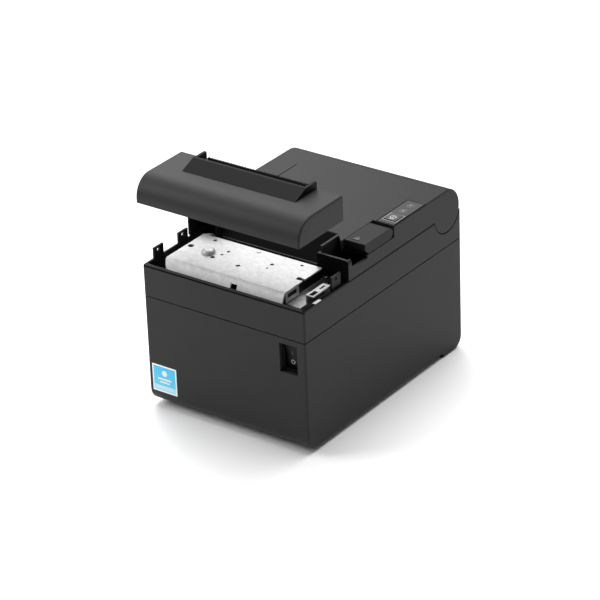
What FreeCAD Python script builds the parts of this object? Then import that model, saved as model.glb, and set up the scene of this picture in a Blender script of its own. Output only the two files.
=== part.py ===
"""Desktop receipt printer with a lift-off front cover over its cutter.

Millimetres. The case stands on Z = 0 with its front towards -Y. Sub-parts are
drawn with Y = 0 on the front face, and are then moved so that the origin is
under the middle of the whole object. The front cover is drawn closed and is
placed where it is held, above the opening.
"""

import FreeCAD, Part

import math
import os
import re

import Sketcher

SIZES = {
    # Case
    "case_width": 145.0,
    "case_depth": 203.0,
    "underside": 3.3,
    "seam_height": 92.0,
    "seam_gap": 0.8,
    "ring_height": 26.3,
    "lid_rise": 20.2,
    "wall": 2.5,
    "shell": 2.2,
    "line_gap": 0.4,
    "front_curve": 11.5,
    "rear_curve": 10.0,
    "corner_curve": 1.5,
    "skirt_depth": 26.0,
    "skirt_width": 15.0,
    "seam_tongue": 4.0,
    "rear_lip": 1.2,
    "rear_rim_drop": 1.8,
    "rim_curve": 2.2,
    # Cable dock at the rear
    "dock_depth": 16.0,
    "dock_side": 12.0,
    "dock_floor": 8.0,
    "dock_height": 40.0,
    # Screws and posts
    "boss_radius": 4.0,
    "boss_inset": 8.4,
    "boss_front": 20.0,
    "boss_rear": 32.0,
    "screw_radius": 1.5,
    "screw_clearance": 0.25,
    "screw_head_radius": 2.8,
    "screw_head_height": 2.0,
    "screw_recess": 6.0,
    "screw_grip": 9.0,
    "foot_radius": 6.0,
    "foot_front": 24.0,
    "foot_rear": 150.0,
    "foot_inset": 18.0,
    "post_radius": 4.0,
    # Front opening and its tabs
    "bay_depth": 55.5,
    "tab_height": 9.7,
    "tab_root": 11.0,
    "tab_width": 11.0,
    "tab_thickness": 1.6,
    "tab_hole": 1.5,
    "tab_hole_drop": 2.9,
    "tab_wall_gap": 0.5,
    "front_tab_start": 9.3,
    "rear_tab_start": 38.6,
    "clip_start": 14.5,
    "clip_width": 7.7,
    "clip_reach": 2.5,
    "clip_drop": 9.0,
    "clip_sheet": 0.5,
    # Front cover
    "cover_depth": 54.3,
    "cover_height": 19.5,
    "cover_curve": 16.0,
    "cover_lift": 50.4,
    "cover_forward": 3.0,
    "guide_margin": 5.2,
    "guide_start": 27.3,
    "guide_ridge": 41.0,
    "guide_rise": 5.6,
    "guide_skirt": 5.0,
    "ridge_width": 2.0,
    "cheek_width": 2.4,
    "tear_gauge": 1.2,
    "tear_rise": 3.4,
    "tear_pitch": 2.5,
    "tear_tooth": 1.0,
    # Paper cover
    "hinge_radius": 17.2,
    "hinge_pin_radius": 2.5,
    "hinge_fit": 0.05,
    "hinge_boss": 1.0,
    "hinge_boss_radius": 5.0,
    "arm_gap": 0.8,
    "arm_thickness": 4.0,
    "arm_reach": 34.0,
    "arm_leg": 10.0,
    "lid_edge": 1.2,
    "exit_margin": 3.5,
    "exit_rear": 83.0,
    "exit_setback": 4.0,
    "exit_lip": 5.3,
    "exit_rib": 2.0,
    "groove_inset": 22.5,
    "groove_start": 96.0,
    "groove_end": 164.0,
    "groove_width": 0.8,
    "groove_depth": 0.5,
    "recess_floor": 3.4,
    "recess_notch_start": 60.0,
    "recess_notch_height": 9.0,
    "shoulder_drop": 4.0,
    "shoulder_curve": 3.0,
    # Release lever
    "lever_width": 18.3,
    "lever_start": 77.3,
    "lever_flat": 31.2,
    "lever_height": 8.9,
    "lever_gap": 0.4,
    "lever_back_gap": 1.6,
    "lever_wall": 2.0,
    "lever_pin_radius": 1.5,
    "tray_wall": 2.2,
    # Control panel
    "panel_start": 115.4,
    "panel_length": 41.0,
    "panel_width": 15.6,
    "panel_inset": 0.5,
    "panel_thickness": 1.2,
    "panel_gap": 0.15,
    "button_size": 10.4,
    "button_start": 5.2,
    "button_gap": 0.35,
    "button_height": 3.2,
    "button_proud": 0.5,
    "lamp_radius": 1.5,
    "first_lamp": 23.4,
    "lamp_step": 10.0,
    # Power switch
    "switch_offset": 7.3,
    "switch_drop": 4.4,
    "switch_width": 15.7,
    "switch_height": 23.2,
    "switch_depth": 14.5,
    "switch_inset": 3.4,
    "switch_collar": 9.0,
    "switch_border": 2.0,
    "switch_well": 8.4,
    "terminal_length": 9.0,
    "terminal_half": 2.2,
    "rocker_gap": 0.8,
    "rocker_pin_radius": 0.9,
    "rocker_pivot": 3.2,
    "rocker_depth": 6.0,
    "rocker_tilt": 2.4,
    "label_margin": 3.4,
    "label_bottom": 14.7,
    "label_size": 22.4,
    "label_gauge": 0.2,
    # Paper bucket
    "roll_radius": 43.5,
    "roll_y": 124.0,
    "roll_drop": 18.0,
    "roll_play": 1.0,
    "bucket_wall": 2.0,
    "bucket_flange": 14.0,
    "ledge_height": 4.6,
    "ledge_gauge": 2.6,
    # Mechanism
    "frame_margin": 23.8,
    "frame_sheet": 1.2,
    "frame_front": 13.0,
    "frame_rear": 74.0,
    "frame_drop": 20.0,
    "platen_y": 64.0,
    "platen_drop": 9.3,
    "platen_margin": 7.2,
    "platen_radius": 6.5,
    "shaft_radius": 3.0,
    "shaft_fit": 0.05,
    "bush_wall": 1.5,
    "bracket_gauge": 2.5,
    "bracket_gap": 1.5,
    "gear_face": 4.0,
    "gear_standoff": 10.3,
    "motor_y": 35.0,
    "motor_drop": 27.0,
    "motor_radius": 17.5,
    "motor_length": 20.0,
    "motor_shaft": 1.5,
    "post_pin_radius": 2.0,
    "paper_gap": 0.9,
    "head_gauge": 1.1,
    "sink_gauge": 5.5,
    "head_pin_radius": 1.5,
    "head_height": 13.6,
    "head_drop": 10.0,
    "head_margin": 0.5,
    "spring_room": 6.0,
    # Cutter
    "plate_left_margin": 15.5,
    "plate_right_margin": 22.5,
    "plate_rise": 5.7,
    "plate_front": 9.5,
    "plate_rear": 54.7,
    "plate_sheet": 1.2,
    "plate_flange": 8.0,
    "flange_run": 5.0,
    "fold_run": 2.0,
    "fold_drop": 1.4,
    "plate_corner": 5.0,
    "side_flange": 8.9,
    "side_length": 16.0,
    "side_border": 2.4,
    "boss_dome": 5.2,
    "dome_rise": 3.6,
    "nub_radius": 1.6,
    "nub_rise": 0.7,
    "tray_depth": 8.4,
    "tray_gap": 0.3,
    "blade_gauge": 1.0,
    "blade_drop": 5.8,
    "blade_left_margin": 13.0,
    "blade_right_margin": 20.0,
    "blade_start": 20.0,
    "blade_length": 32.6,
    "blade_vee": 1.5,
    "blade_slot": 0.5,
    "pinion_radius": 5.0,
    "rack_tooth": 1.0,
    "mesh_gap": 0.9,
    "cutter_motor_y": 30.0,
    "cutter_motor_radius": 9.0,
    "cutter_motor_length": 20.0,
    "bracket_inset": 4.9,
    "bracket_width": 6.6,
    "bracket_rise": 2.7,
    "bracket_drop": 7.9,
    "bracket_foot": 9.8,
    "bracket_window": 8.5,
    "bracket_slot": 0.8,
    "bracket_front": 18.5,
    "bracket_rear": 40.0,
    # Electronics
    "board_height": 10.0,
    "board_gauge": 1.6,
    "board_margin": 16.5,
    "board_front": 110.0,
    "board_gap": 1.0,
    "port_proud": 1.5,
    "port_fit": 0.2,
    "contact_rise": 1.2,
}

# Sizes that follow from others: heights stack up from the seam, and widths go in from the case's sides
FOLLOWING = {
    "rim_height": "seam_height + ring_height",
    "lid_height": "rim_height + lid_rise",
    "plate_height": "rim_height + plate_rise",
    "blade_height": "plate_height - blade_drop",
    "bracket_height": "rim_height + bracket_rise",
    "platen_z": "rim_height - platen_drop",
    "head_bottom": "platen_z - head_drop",
    "motor_z": "platen_z - motor_drop",
    "frame_floor": "motor_z - frame_drop",
    "roll_z": "seam_height - roll_drop",
    "switch_bottom": "seam_height - switch_drop - switch_height",
    "frame_half": "case_width / 2 - frame_margin",
    "gear_plane": "frame_half + gear_standoff",
    "platen_half": "frame_half - platen_margin",
    "roll_half": "platen_half + roll_play",
    "exit_half": "platen_half + exit_margin",
    "head_half": "platen_half + head_margin",
    "guide_half": "exit_half + guide_margin",
    "tear_half": "exit_half",
    "plate_left": "case_width / 2 - plate_left_margin",
    "plate_right": "case_width / 2 - plate_right_margin",
    "blade_left": "plate_left - blade_left_margin",
    "blade_right": "plate_right - blade_right_margin",
    "bracket_right": "case_width / 2 - bracket_inset",
    "bracket_left": "bracket_right - bracket_width",
    "switch_left": "case_width / 2 - switch_offset - switch_width",
    "label_left": "case_width / 2 - label_margin",
    "board_half": "case_width / 2 - board_margin",
    "groove_offset": "case_width / 2 - groove_inset",
}

doc = FreeCAD.newDocument("receipt_printer")
sheet = doc.addObject("Spreadsheet::Sheet", "dim")
for row, (alias, size) in enumerate(SIZES.items(), start=1):
    sheet.set(f"A{row}", alias)
    sheet.set(f"B{row}", str(size))
    sheet.setAlias(f"B{row}", alias)
doc.recompute()

HALF = "case_width/2"
INNER = "(case_width/2 - wall)"
LID_INNER = "(case_width/2 - shell)"
HINGE_Y = "(case_depth - rear_lip - hinge_radius)"
HINGE_Z = "(lid_height - hinge_radius)"
LID_FLOOR = "(rim_height + line_gap)"
COVER_TOP = "(rim_height + line_gap + cover_height)"
DOCK_WALL = "(case_depth - dock_depth - wall)"
SHIFT = "(case_depth - cover_forward)/2"
LEVER_Z = "(lid_height - lever_height/2)"
LEVER_Y = "(lever_start + lever_flat)"
LEVER_LEFT = f"({HALF} - lever_width)"
PANEL_LEFT = f"({HALF} - panel_inset - panel_width)"
BOARD_TOP = "(board_height + board_gauge)"
TRAY_FLOOR = "(plate_height - plate_sheet - tray_depth)"
CUTTER_X = "(blade_right + pinion_radius + mesh_gap)"
SINK_FRONT = "(platen_y - platen_radius - paper_gap - head_gauge - sink_gauge)"
HEAD_PIVOT_Y = "(platen_y - platen_radius - paper_gap - head_gauge - sink_gauge/2)"
HEAD_PIVOT_Z = "(head_bottom + 2*head_pin_radius)"
SEAM_TOP = "(seam_height + seam_gap)"
SPRING_BAR = "(platen_y - platen_radius - paper_gap - head_gauge - sink_gauge - spring_room)"
SWITCH_RIGHT = "(switch_left + switch_width)"
SWITCH_TOP = "(switch_bottom + switch_height)"
HEAD_FACE = "(platen_y - platen_radius - paper_gap - head_gauge)"

NODES = []


NAME = r"[a-z_][a-z0-9_]*"


def in_sizes(text):
    """Write a formula out in the sheet's own sizes."""

    def written(found):
        name = found.group()
        return f"({in_sizes(FOLLOWING[name])})" if name in FOLLOWING else name

    return re.sub(NAME, written, str(text))


def formula(text):
    """Turn size names into references to the sheet."""
    return re.sub(NAME, lambda found: "dim." + found.group(), in_sizes(text))


def value(text):
    """Work out a formula in millimetres."""
    return float(sheet.evalExpression(in_sizes(text)))


def bind(item, **formulas):
    """Bind properties, with double underscores for dots in their paths."""
    for path, text in formulas.items():
        item.setExpression(path.replace("__", "."), formula(text))


def both_sides(near, far):
    """Give a span on the right and its mirror image on the left."""
    return (("right", f"({near})", f"({far})"), ("left", f"-({far})", f"-({near})"))


def new_body(label):
    return doc.addObject("PartDesign::Body", label)


def add_node(item, label, raised=False):
    """Name a finished sub-part and set it in the object's frame."""
    if item.TypeId in ("Part::Box", "Part::Cylinder"):
        item.Label = f"{label}_form"
        item = grouped(f"{label}_set", [item])
    item.Label = label
    if raised:
        bind(item, Placement__Base__y=f"-{SHIFT} - cover_forward", Placement__Base__z="cover_lift")
    else:
        bind(item, Placement__Base__y=f"-{SHIFT}")
    NODES.append(item)


def draw_loop(sketch, loop):
    """Draw a closed outline, or a circle given as centre and radius."""
    first = sketch.GeometryCount
    if isinstance(loop, tuple):
        centre_u, centre_v, radius = loop
        centre = FreeCAD.Vector(value(centre_u), value(centre_v), 0)
        sketch.addGeometry(Part.Circle(centre, FreeCAD.Vector(0, 0, 1), value(radius)))
        measure(sketch, Sketcher.Constraint("Radius", first, value(radius)), radius)
        place_point(sketch, first, 3, centre_u, centre_v)
        return
    corners = [FreeCAD.Vector(value(u), value(v), 0) for u, v in loop]
    count = len(corners)
    for index in range(count):
        sketch.addGeometry(Part.LineSegment(corners[index], corners[(index + 1) % count]))
    for index in range(count):
        following = first + (index + 1) % count
        sketch.addConstraint(Sketcher.Constraint("Coincident", first + index, 2, following, 1))
    for index, (u, v) in enumerate(loop):
        place_point(sketch, first + index, 1, u, v)


def measure(sketch, constraint, text):
    """Add a dimension and bind it to a formula."""
    number = sketch.addConstraint(constraint)
    sketch.setExpression(f"Constraints[{number}]", formula(text))


def place_point(sketch, item, point, u, v):
    """Dimension a point from the sketch's origin."""
    measure(sketch, Sketcher.Constraint("DistanceX", -1, 1, item, point, value(u)), u)
    measure(sketch, Sketcher.Constraint("DistanceY", -1, 1, item, point, value(v)), v)


def prism(body, name, plane, start, end, loops, cut=False):
    """Pad or pocket an outline between two levels along the plane's normal axis."""
    sketch = body.newObject("Sketcher::SketchObject", name + "Sketch")
    origin_plane = next(o for o in body.Origin.OriginFeatures if o.Role == plane + "_Plane")
    sketch.AttachmentSupport = [(origin_plane, "")]
    sketch.MapMode = "FlatFace"
    if plane == "XZ":
        level = f"-({start})" if cut else f"-({end})"
    else:
        level = end if cut else start
    bind(sketch, AttachmentOffset__Base__z=level)
    for loop in loops:
        draw_loop(sketch, loop)
    before = body.Tip.Shape.Volume if body.Tip else 0.0
    feature = body.newObject("PartDesign::Pocket" if cut else "PartDesign::Pad", name)
    feature.Profile = sketch
    bind(feature, Length=f"({end}) - ({start})")
    doc.recompute()
    change = feature.Shape.Volume - before
    if (change >= 0) == cut:
        raise RuntimeError(f"{body.Label} {name} does not change its solid")
    return feature


def rectangle(left, right, bottom, top):
    """Give the corners of an upright rectangle."""
    return [(left, bottom), (right, bottom), (right, top), (left, top)]


def runs_along(axis, places):
    """Choose straight edges along an axis through places in the other two directions."""
    others = [index for index in range(3) if index != axis]
    wanted = [(value(u), value(v)) for u, v in places]

    def chosen(edge):
        ends = [vertex.Point for vertex in edge.Vertexes]
        if len(ends) < 2 or edge.Curve.TypeId != "Part::GeomLine":
            return False
        first, last = ends
        if max(abs(first[index] - last[index]) for index in others) > 1e-6:
            return False
        near = [math.dist((first[others[0]], first[others[1]]), place) for place in wanted]
        return min(near) < 1e-4

    return chosen


def soften(body, name, radius, chosen):
    """Round the chosen edges of the body so far."""
    base = body.Tip
    names = [f"Edge{n}" for n, edge in enumerate(base.Shape.Edges, start=1) if chosen(edge)]
    if not names:
        raise RuntimeError(f"{body.Label} {name} finds no edge")
    fillet = body.newObject("PartDesign::Fillet", name)
    fillet.Base = (base, names)
    bind(fillet, Radius=radius)
    doc.recompute()


def slab(name, left, right, front, rear, bottom, top):
    """Make a plain block between six planes."""
    block = doc.addObject("Part::Box", name)
    bind(block, Length=f"({right}) - ({left})", Width=f"({rear}) - ({front})")
    bind(block, Height=f"({top}) - ({bottom})", Placement__Base__x=left)
    bind(block, Placement__Base__y=front, Placement__Base__z=bottom)
    return block


TURNS = {
    "x": FreeCAD.Rotation(FreeCAD.Vector(0, 1, 0), 90),
    "y": FreeCAD.Rotation(FreeCAD.Vector(1, 0, 0), -90),
    "z": FreeCAD.Rotation(),
}


def rod(name, axis, start, end, across, along, radius):
    """Make a round bar along an axis, placed in the other two directions in order."""
    bar = doc.addObject("Part::Cylinder", name)
    bar.Placement = FreeCAD.Placement(FreeCAD.Vector(), TURNS[axis])
    bind(bar, Radius=radius, Height=f"({end}) - ({start})")
    places = {"x": (start, across, along), "y": (across, start, along), "z": (across, along, start)}
    x, y, z = places[axis]
    bind(bar, Placement__Base__x=x, Placement__Base__y=y, Placement__Base__z=z)
    return bar


def joined(name, pieces):
    fusion = doc.addObject("Part::MultiFuse", name)
    fusion.Shapes = pieces
    return fusion


def taken_from(name, base, tools):
    cut = doc.addObject("Part::Cut", name)
    cut.Base = base
    cut.Tool = tools[0] if len(tools) == 1 else joined(name + "Tools", tools)
    return cut


def grouped(name, pieces):
    group = doc.addObject("Part::Compound", name)
    group.Links = pieces
    return group


def boss_places():
    """Give the four screw places of the case."""
    across = f"({HALF} - boss_inset)"
    return [
        (side + across, along)
        for side in ("", "-")
        for along in ("boss_front", "(case_depth - boss_rear)")
    ]


def post_places():
    """Give the four places where the mechanism's frame is screwed down."""
    across = "(frame_half - 2*post_radius)"
    return [
        (side + across, along)
        for side in ("", "-")
        for along in ("(frame_front + 2*post_radius)", "(frame_rear - 2*post_radius)")
    ]


# Rear sockets: name, middle, width, height, mouth width, mouth height
PORTS = (
    ("drawer_port", -44.0, 14.0, 13.0, 9.8, 6.8),
    ("usb_port", -20.0, 12.2, 11.4, 8.6, 7.6),
    ("network_port", 6.0, 16.4, 13.4, 11.8, 7.0),
)
INLET_MIDDLE = 38.0
INLET_SIZE = 15.0
INLET_BORE = 5.2


def port_windows():
    """Give the rear openings that the sockets look through."""
    sizes = [(middle, width, height) for _, middle, width, height, _, _ in PORTS]
    sizes.append((INLET_MIDDLE, INLET_SIZE, INLET_SIZE))
    return [
        rectangle(
            f"{middle} - {width}/2 - port_fit",
            f"{middle} + {width}/2 + port_fit",
            BOARD_TOP,
            f"{BOARD_TOP} + {height} + port_fit",
        )
        for middle, width, height in sizes
    ]


def make_lower_case():
    """Moulded tub with a curved front edge, a cable dock and posts for the mechanism."""
    body = new_body("lower_case")
    step = "(case_depth - skirt_depth)"
    outline = [("0", "underside"), (step, "underside"), (step, "0"), ("case_depth", "0")]
    outline += [("case_depth", "seam_height"), ("0", "seam_height")]
    prism(body, "TubBlock", "YZ", f"-{HALF}", HALF, [outline])
    floor = "underside + wall"
    hollow = [("wall", floor), (DOCK_WALL, floor), (DOCK_WALL, "dock_height + wall")]
    hollow += [("case_depth - wall", "dock_height + wall"), ("case_depth - wall", "seam_height + wall")]
    hollow.append(("wall", "seam_height + wall"))
    prism(body, "Hollow", "YZ", f"-{INNER}", INNER, [hollow], cut=True)
    soften(body, "HollowCurve", "front_curve - wall", runs_along(0, [("wall", floor)]))
    soften(body, "FrontCurve", "front_curve", runs_along(0, [("0", "underside")]))
    soften(body, "RearCurve", "rear_curve", runs_along(0, [("case_depth", "0")]))
    corners = [(side + HALF, along) for side in ("", "-") for along in ("0", "case_depth")]
    soften(body, "CornerCurves", "corner_curve", runs_along(2, corners))
    dock = rectangle(f"dock_side - {HALF}", f"{HALF} - dock_side", "dock_floor", "dock_height")
    prism(body, "Dock", "XZ", "case_depth - dock_depth", "case_depth + wall", [dock], cut=True)
    dock_back = "case_depth - dock_depth + wall"
    prism(body, "PortWindows", "XZ", f"{DOCK_WALL} - wall", dock_back, port_windows(), cut=True)
    under = rectangle(f"skirt_width - {HALF}", f"{HALF} - skirt_width", f"{step} - wall", "case_depth + wall")
    prism(body, "SkirtGap", "XY", "-wall", "underside", [under], cut=True)
    collar = rectangle("switch_left - wall", f"{SWITCH_RIGHT} + wall", "switch_bottom - wall", SWITCH_TOP)
    prism(body, "SwitchCollar", "XZ", "wall/2", "switch_collar", [collar])
    window = rectangle("switch_left", SWITCH_RIGHT, "switch_bottom", SWITCH_TOP)
    prism(body, "SwitchWindow", "XZ", "-wall", "switch_collar + wall", [window], cut=True)
    bosses = [(x, y, "boss_radius") for x, y in boss_places()]
    prism(body, "Bosses", "XY", "underside", "seam_height", bosses)
    bores = [(x, y, "screw_radius + screw_clearance") for x, y in boss_places()]
    prism(body, "BossBores", "XY", "underside - wall", "seam_height + wall", bores, cut=True)
    recesses = [(x, y, "screw_head_radius + screw_clearance") for x, y in boss_places()]
    prism(body, "BossRecesses", "XY", "underside - wall", "underside + screw_recess", recesses, cut=True)
    posts = [(x, y, "post_radius") for x, y in post_places()]
    prism(body, "FramePosts", "XY", "underside + wall/2", "frame_floor", posts)
    post_bores = [(x, y, "screw_radius") for x, y in post_places()]
    prism(body, "PostBores", "XY", "frame_floor - screw_grip", "frame_floor + wall", post_bores, cut=True)
    pillars = [
        (f"{side}(board_half - 2*post_radius)", along, "post_radius")
        for side in ("", "-")
        for along in ("(board_front + 2*post_radius)", f"({DOCK_WALL} - 2*post_radius)")
    ]
    prism(body, "BoardPillars", "XY", "underside + wall/2", "board_height", pillars)
    add_node(body, "lower_case")


def make_upper_case():
    """Open ring above the seam, with cover tabs, bucket ledges and hinge arms."""
    body = new_body("upper_case")
    base = SEAM_TOP
    prism(body, "Ring", "YZ", f"-{HALF}", HALF, [rectangle("0", "case_depth", base, "rim_height")])
    soften(body, "RimCurve", "rim_curve", runs_along(0, [("0", "rim_height")]))
    corners = [(side + HALF, along) for side in ("", "-") for along in ("0", "case_depth")]
    soften(body, "CornerCurves", "corner_curve", runs_along(2, corners))
    inside = rectangle(f"-{INNER}", INNER, "wall", "case_depth - wall")
    prism(body, "Inside", "XY", "seam_height - wall", "rim_height + wall", [inside], cut=True)
    tongue_out = f"({INNER} - line_gap/2)"
    tongue_in = f"({INNER} - line_gap/2 - wall/2)"
    front_out = "(wall + line_gap/2)"
    front_in = "(wall*3/2 + line_gap/2)"
    rear_out = "(case_depth - wall - line_gap/2)"
    rear_in = "(case_depth - wall*3/2 - line_gap/2)"
    frame = [
        rectangle(f"-{tongue_out}", tongue_out, front_out, rear_out),
        rectangle(f"-{tongue_in}", tongue_in, front_in, rear_in),
    ]
    prism(body, "Tongue", "XY", "seam_height - seam_tongue", f"{base} + wall", frame)
    anchor = [
        rectangle(f"-{INNER}", INNER, "wall", "case_depth - wall"),
        rectangle(f"-{tongue_in}", tongue_in, front_in, rear_in),
    ]
    prism(body, "TongueRoot", "XY", base, f"{base} + wall", anchor)
    socket = [(HINGE_Y, HINGE_Z, "hinge_radius + line_gap")]
    prism(body, "HingeSocket", "YZ", f"-{HALF} - wall", f"{HALF} + wall", socket, cut=True)
    drop = rectangle(f"-{HALF} - wall", f"{HALF} + wall", HINGE_Y, "case_depth + wall")
    prism(body, "RearRim", "XY", "rim_height - rear_rim_drop", "rim_height + wall", [drop], cut=True)
    ledge_start = "roll_half + bucket_wall + bucket_flange - 2*wall"
    for side, near, far in both_sides(ledge_start, f"{INNER} + wall/2"):
        ledge = rectangle(near, far, "roll_y - roll_radius", "roll_y + roll_radius/2")
        low = "seam_height + ledge_height - ledge_gauge"
        prism(body, f"Ledge_{side}", "XY", low, "seam_height + ledge_height", [ledge])
    add_hinge_arms(body)
    bores = [(x, y, "screw_radius") for x, y in boss_places()]
    bosses = [(x, y, "boss_radius") for x, y in boss_places()]
    webs = [
        rectangle(near, far, f"{along} - wall/2", f"{along} + wall/2")
        for _, near, far in both_sides(f"{HALF} - boss_inset", f"{INNER} + wall/2")
        for along in ("boss_front", "(case_depth - boss_rear)")
    ]
    prism(body, "BossWebs", "XY", base, f"{base} + screw_grip", webs)
    prism(body, "ScrewBosses", "XY", base, f"{base} + screw_grip*4/3", bosses)
    prism(body, "ScrewBores", "XY", f"{base} - wall", f"{base} + screw_grip", bores, cut=True)
    clip = rectangle(f"{HALF} - clip_reach", f"{HALF} - wall/5", "clip_start", "clip_start + clip_width")
    prism(body, "ClipSeat", "XY", "rim_height - clip_sheet", "rim_height + wall", [clip], cut=True)
    add_node(body, "upper_case")


def make_cover_tabs():
    """Upright tabs inside the rim that hold the front cover: two on the left, one on the right."""
    outer = f"({LID_INNER} - tab_wall_gap)"
    inner = f"({outer} - tab_thickness)"
    plates = {side: (near, far) for side, near, far in both_sides(inner, outer)}
    roots = {side: (near, far) for side, near, far in both_sides(inner, INNER)}
    places = (("left", "front_tab_start"), ("left", "rear_tab_start"), ("right", "rear_tab_start"))
    low = "(rim_height - tab_root)"
    tabs = []
    for side, start in places:
        name = f"{side}_{start}"
        end = f"({start} + tab_width)"
        plate = slab(f"plate_{name}", *plates[side], start, end, low, "rim_height + tab_height")
        root = slab(f"root_{name}", *roots[side], start, end, low, "rim_height - line_gap")
        near, far = plates[side]
        height = "(rim_height + tab_height - tab_hole_drop)"
        across = f"{start} + tab_width*0.45"
        hole = rod(f"hole_{name}", "x", f"{near} - wall", f"{far} + wall", across, height, "tab_hole")
        tabs.append(taken_from(f"tab_{name}", joined(f"solid_{name}", [plate, root]), [hole]))
    add_node(grouped("cover_tab_set", tabs), "cover_tabs")


def add_hinge_arms(body):
    """Arms that reach back inside the paper cover and hold its pivot pins."""
    outer = f"({LID_INNER} - hinge_boss - arm_gap)"
    inner = f"({outer} - arm_thickness)"
    low = SEAM_TOP
    reach = f"({HINGE_Y} - arm_reach)"
    knee = f"({reach} + arm_leg)"
    under = f"({HINGE_Z} - hinge_boss_radius)"
    over = f"({HINGE_Z} + hinge_boss_radius)"
    tip = f"({HINGE_Y} + hinge_boss_radius)"
    outline = [(reach, low), (knee, low), (knee, under), (tip, under), (tip, over), (reach, over)]
    for side, near, far in both_sides(inner, outer):
        prism(body, f"Arm_{side}", "YZ", near, far, [outline])
    soften(body, "ArmTips", "hinge_boss_radius*0.9", runs_along(0, [(tip, under), (tip, over)]))
    for side, near, far in both_sides(inner, f"{INNER} + wall/2"):
        foot = rectangle(reach, knee, low, "rim_height - line_gap")
        prism(body, f"ArmFoot_{side}", "YZ", near, far, [foot])
    for side, near, far in both_sides(f"{inner} - wall", f"{outer} + arm_gap/2"):
        bore = [(HINGE_Y, HINGE_Z, "hinge_pin_radius")]
        prism(body, f"ArmBore_{side}", "YZ", near, far, bore, cut=True)


def make_paper_cover():
    """Rear lid: a hollow shell whose rounded end turns in the case's hinge socket."""
    body = new_body("paper_cover")
    box = rectangle("bay_depth", HINGE_Y, LID_FLOOR, "lid_height")
    prism(body, "LidBlock", "YZ", f"-{HALF}", HALF, [box])
    barrel = [(HINGE_Y, HINGE_Z, "hinge_radius")]
    prism(body, "LidBarrel", "YZ", f"-{HALF}", HALF, barrel)
    soften(body, "LidEdges", "lid_edge", lid_side_edges)
    slope_foot = "(bay_depth + exit_setback)"
    slope_start = "(rim_height + exit_lip)"
    hollow = [
        (f"{slope_foot} + shell", "rim_height - wall"),
        (f"{slope_foot} + shell", slope_start),
        ("exit_rear + shell", "lid_height - shell"),
        (HINGE_Y, "lid_height - shell"),
        (HINGE_Y, "rim_height - wall"),
    ]
    prism(body, "LidHollow", "YZ", f"-{LID_INNER}", LID_INNER, [hollow], cut=True)
    core = [(HINGE_Y, HINGE_Z, "hinge_radius - shell")]
    prism(body, "BarrelHollow", "YZ", f"-{LID_INNER}", LID_INNER, core, cut=True)
    low = f"({HINGE_Z} - 2*hinge_radius)"
    below = [
        (f"{HINGE_Y} - 2*hinge_radius", HINGE_Z),
        (HINGE_Y, HINGE_Z),
        (f"{HINGE_Y} + 2*hinge_radius", f"{HINGE_Z} - hinge_radius"),
        (f"{HINGE_Y} + 2*hinge_radius", low),
        (f"{HINGE_Y} - 2*hinge_radius", low),
    ]
    prism(body, "BarrelOpening", "YZ", f"-{LID_INNER}", LID_INNER, [below], cut=True)
    rib = "(exit_half + exit_rib)"
    shoulder = rectangle("bay_depth - wall", "exit_rear + shell", "rim_height - wall", "lid_height - shell")
    prism(body, "LeftShoulder", "YZ", f"-{LID_INNER}", f"-{rib}", [shoulder], cut=True)
    trough = [
        ("bay_depth - wall", "rim_height - wall"),
        (slope_foot, "rim_height - wall"),
        (slope_foot, slope_start),
        ("exit_rear", "lid_height"),
        ("exit_rear", "lid_height + wall"),
        ("bay_depth - wall", "lid_height + wall"),
    ]
    prism(body, "ExitTrough", "YZ", "-exit_half", "exit_half", [trough], cut=True)
    add_lever_tray(body)
    add_panel_seat(body)
    groove = rectangle("-groove_offset - groove_width", "-groove_offset", "groove_start", "groove_end")
    prism(body, "TopGroove", "XY", "lid_height - groove_depth", "lid_height + wall", [groove], cut=True)
    add_platen_brackets(body)
    for side, near, far in both_sides(f"{LID_INNER} - hinge_boss", f"{LID_INNER} + shell/2"):
        boss = [(HINGE_Y, HINGE_Z, "hinge_boss_radius")]
        prism(body, f"HingeBoss_{side}", "YZ", near, far, boss)
    for side, near, far in both_sides(f"{LID_INNER} - 2*hinge_boss", f"{HALF} - shell/3"):
        bore = [(HINGE_Y, HINGE_Z, "hinge_pin_radius + hinge_fit")]
        prism(body, f"HingeBore_{side}", "YZ", near, far, bore, cut=True)
    add_node(body, "paper_cover")


def lid_side_edges(edge):
    """Pick the long top edges of the lid and the round edges of its rear end."""
    ends = [vertex.Point for vertex in edge.Vertexes]
    on_side = all(abs(abs(point.x) - value(HALF)) < 1e-6 for point in ends)
    is_arc = edge.Curve.TypeId == "Part::GeomCircle"
    on_top = all(abs(point.z - value("lid_height")) < 1e-6 for point in ends)
    return on_side and (is_arc or on_top)


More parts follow.
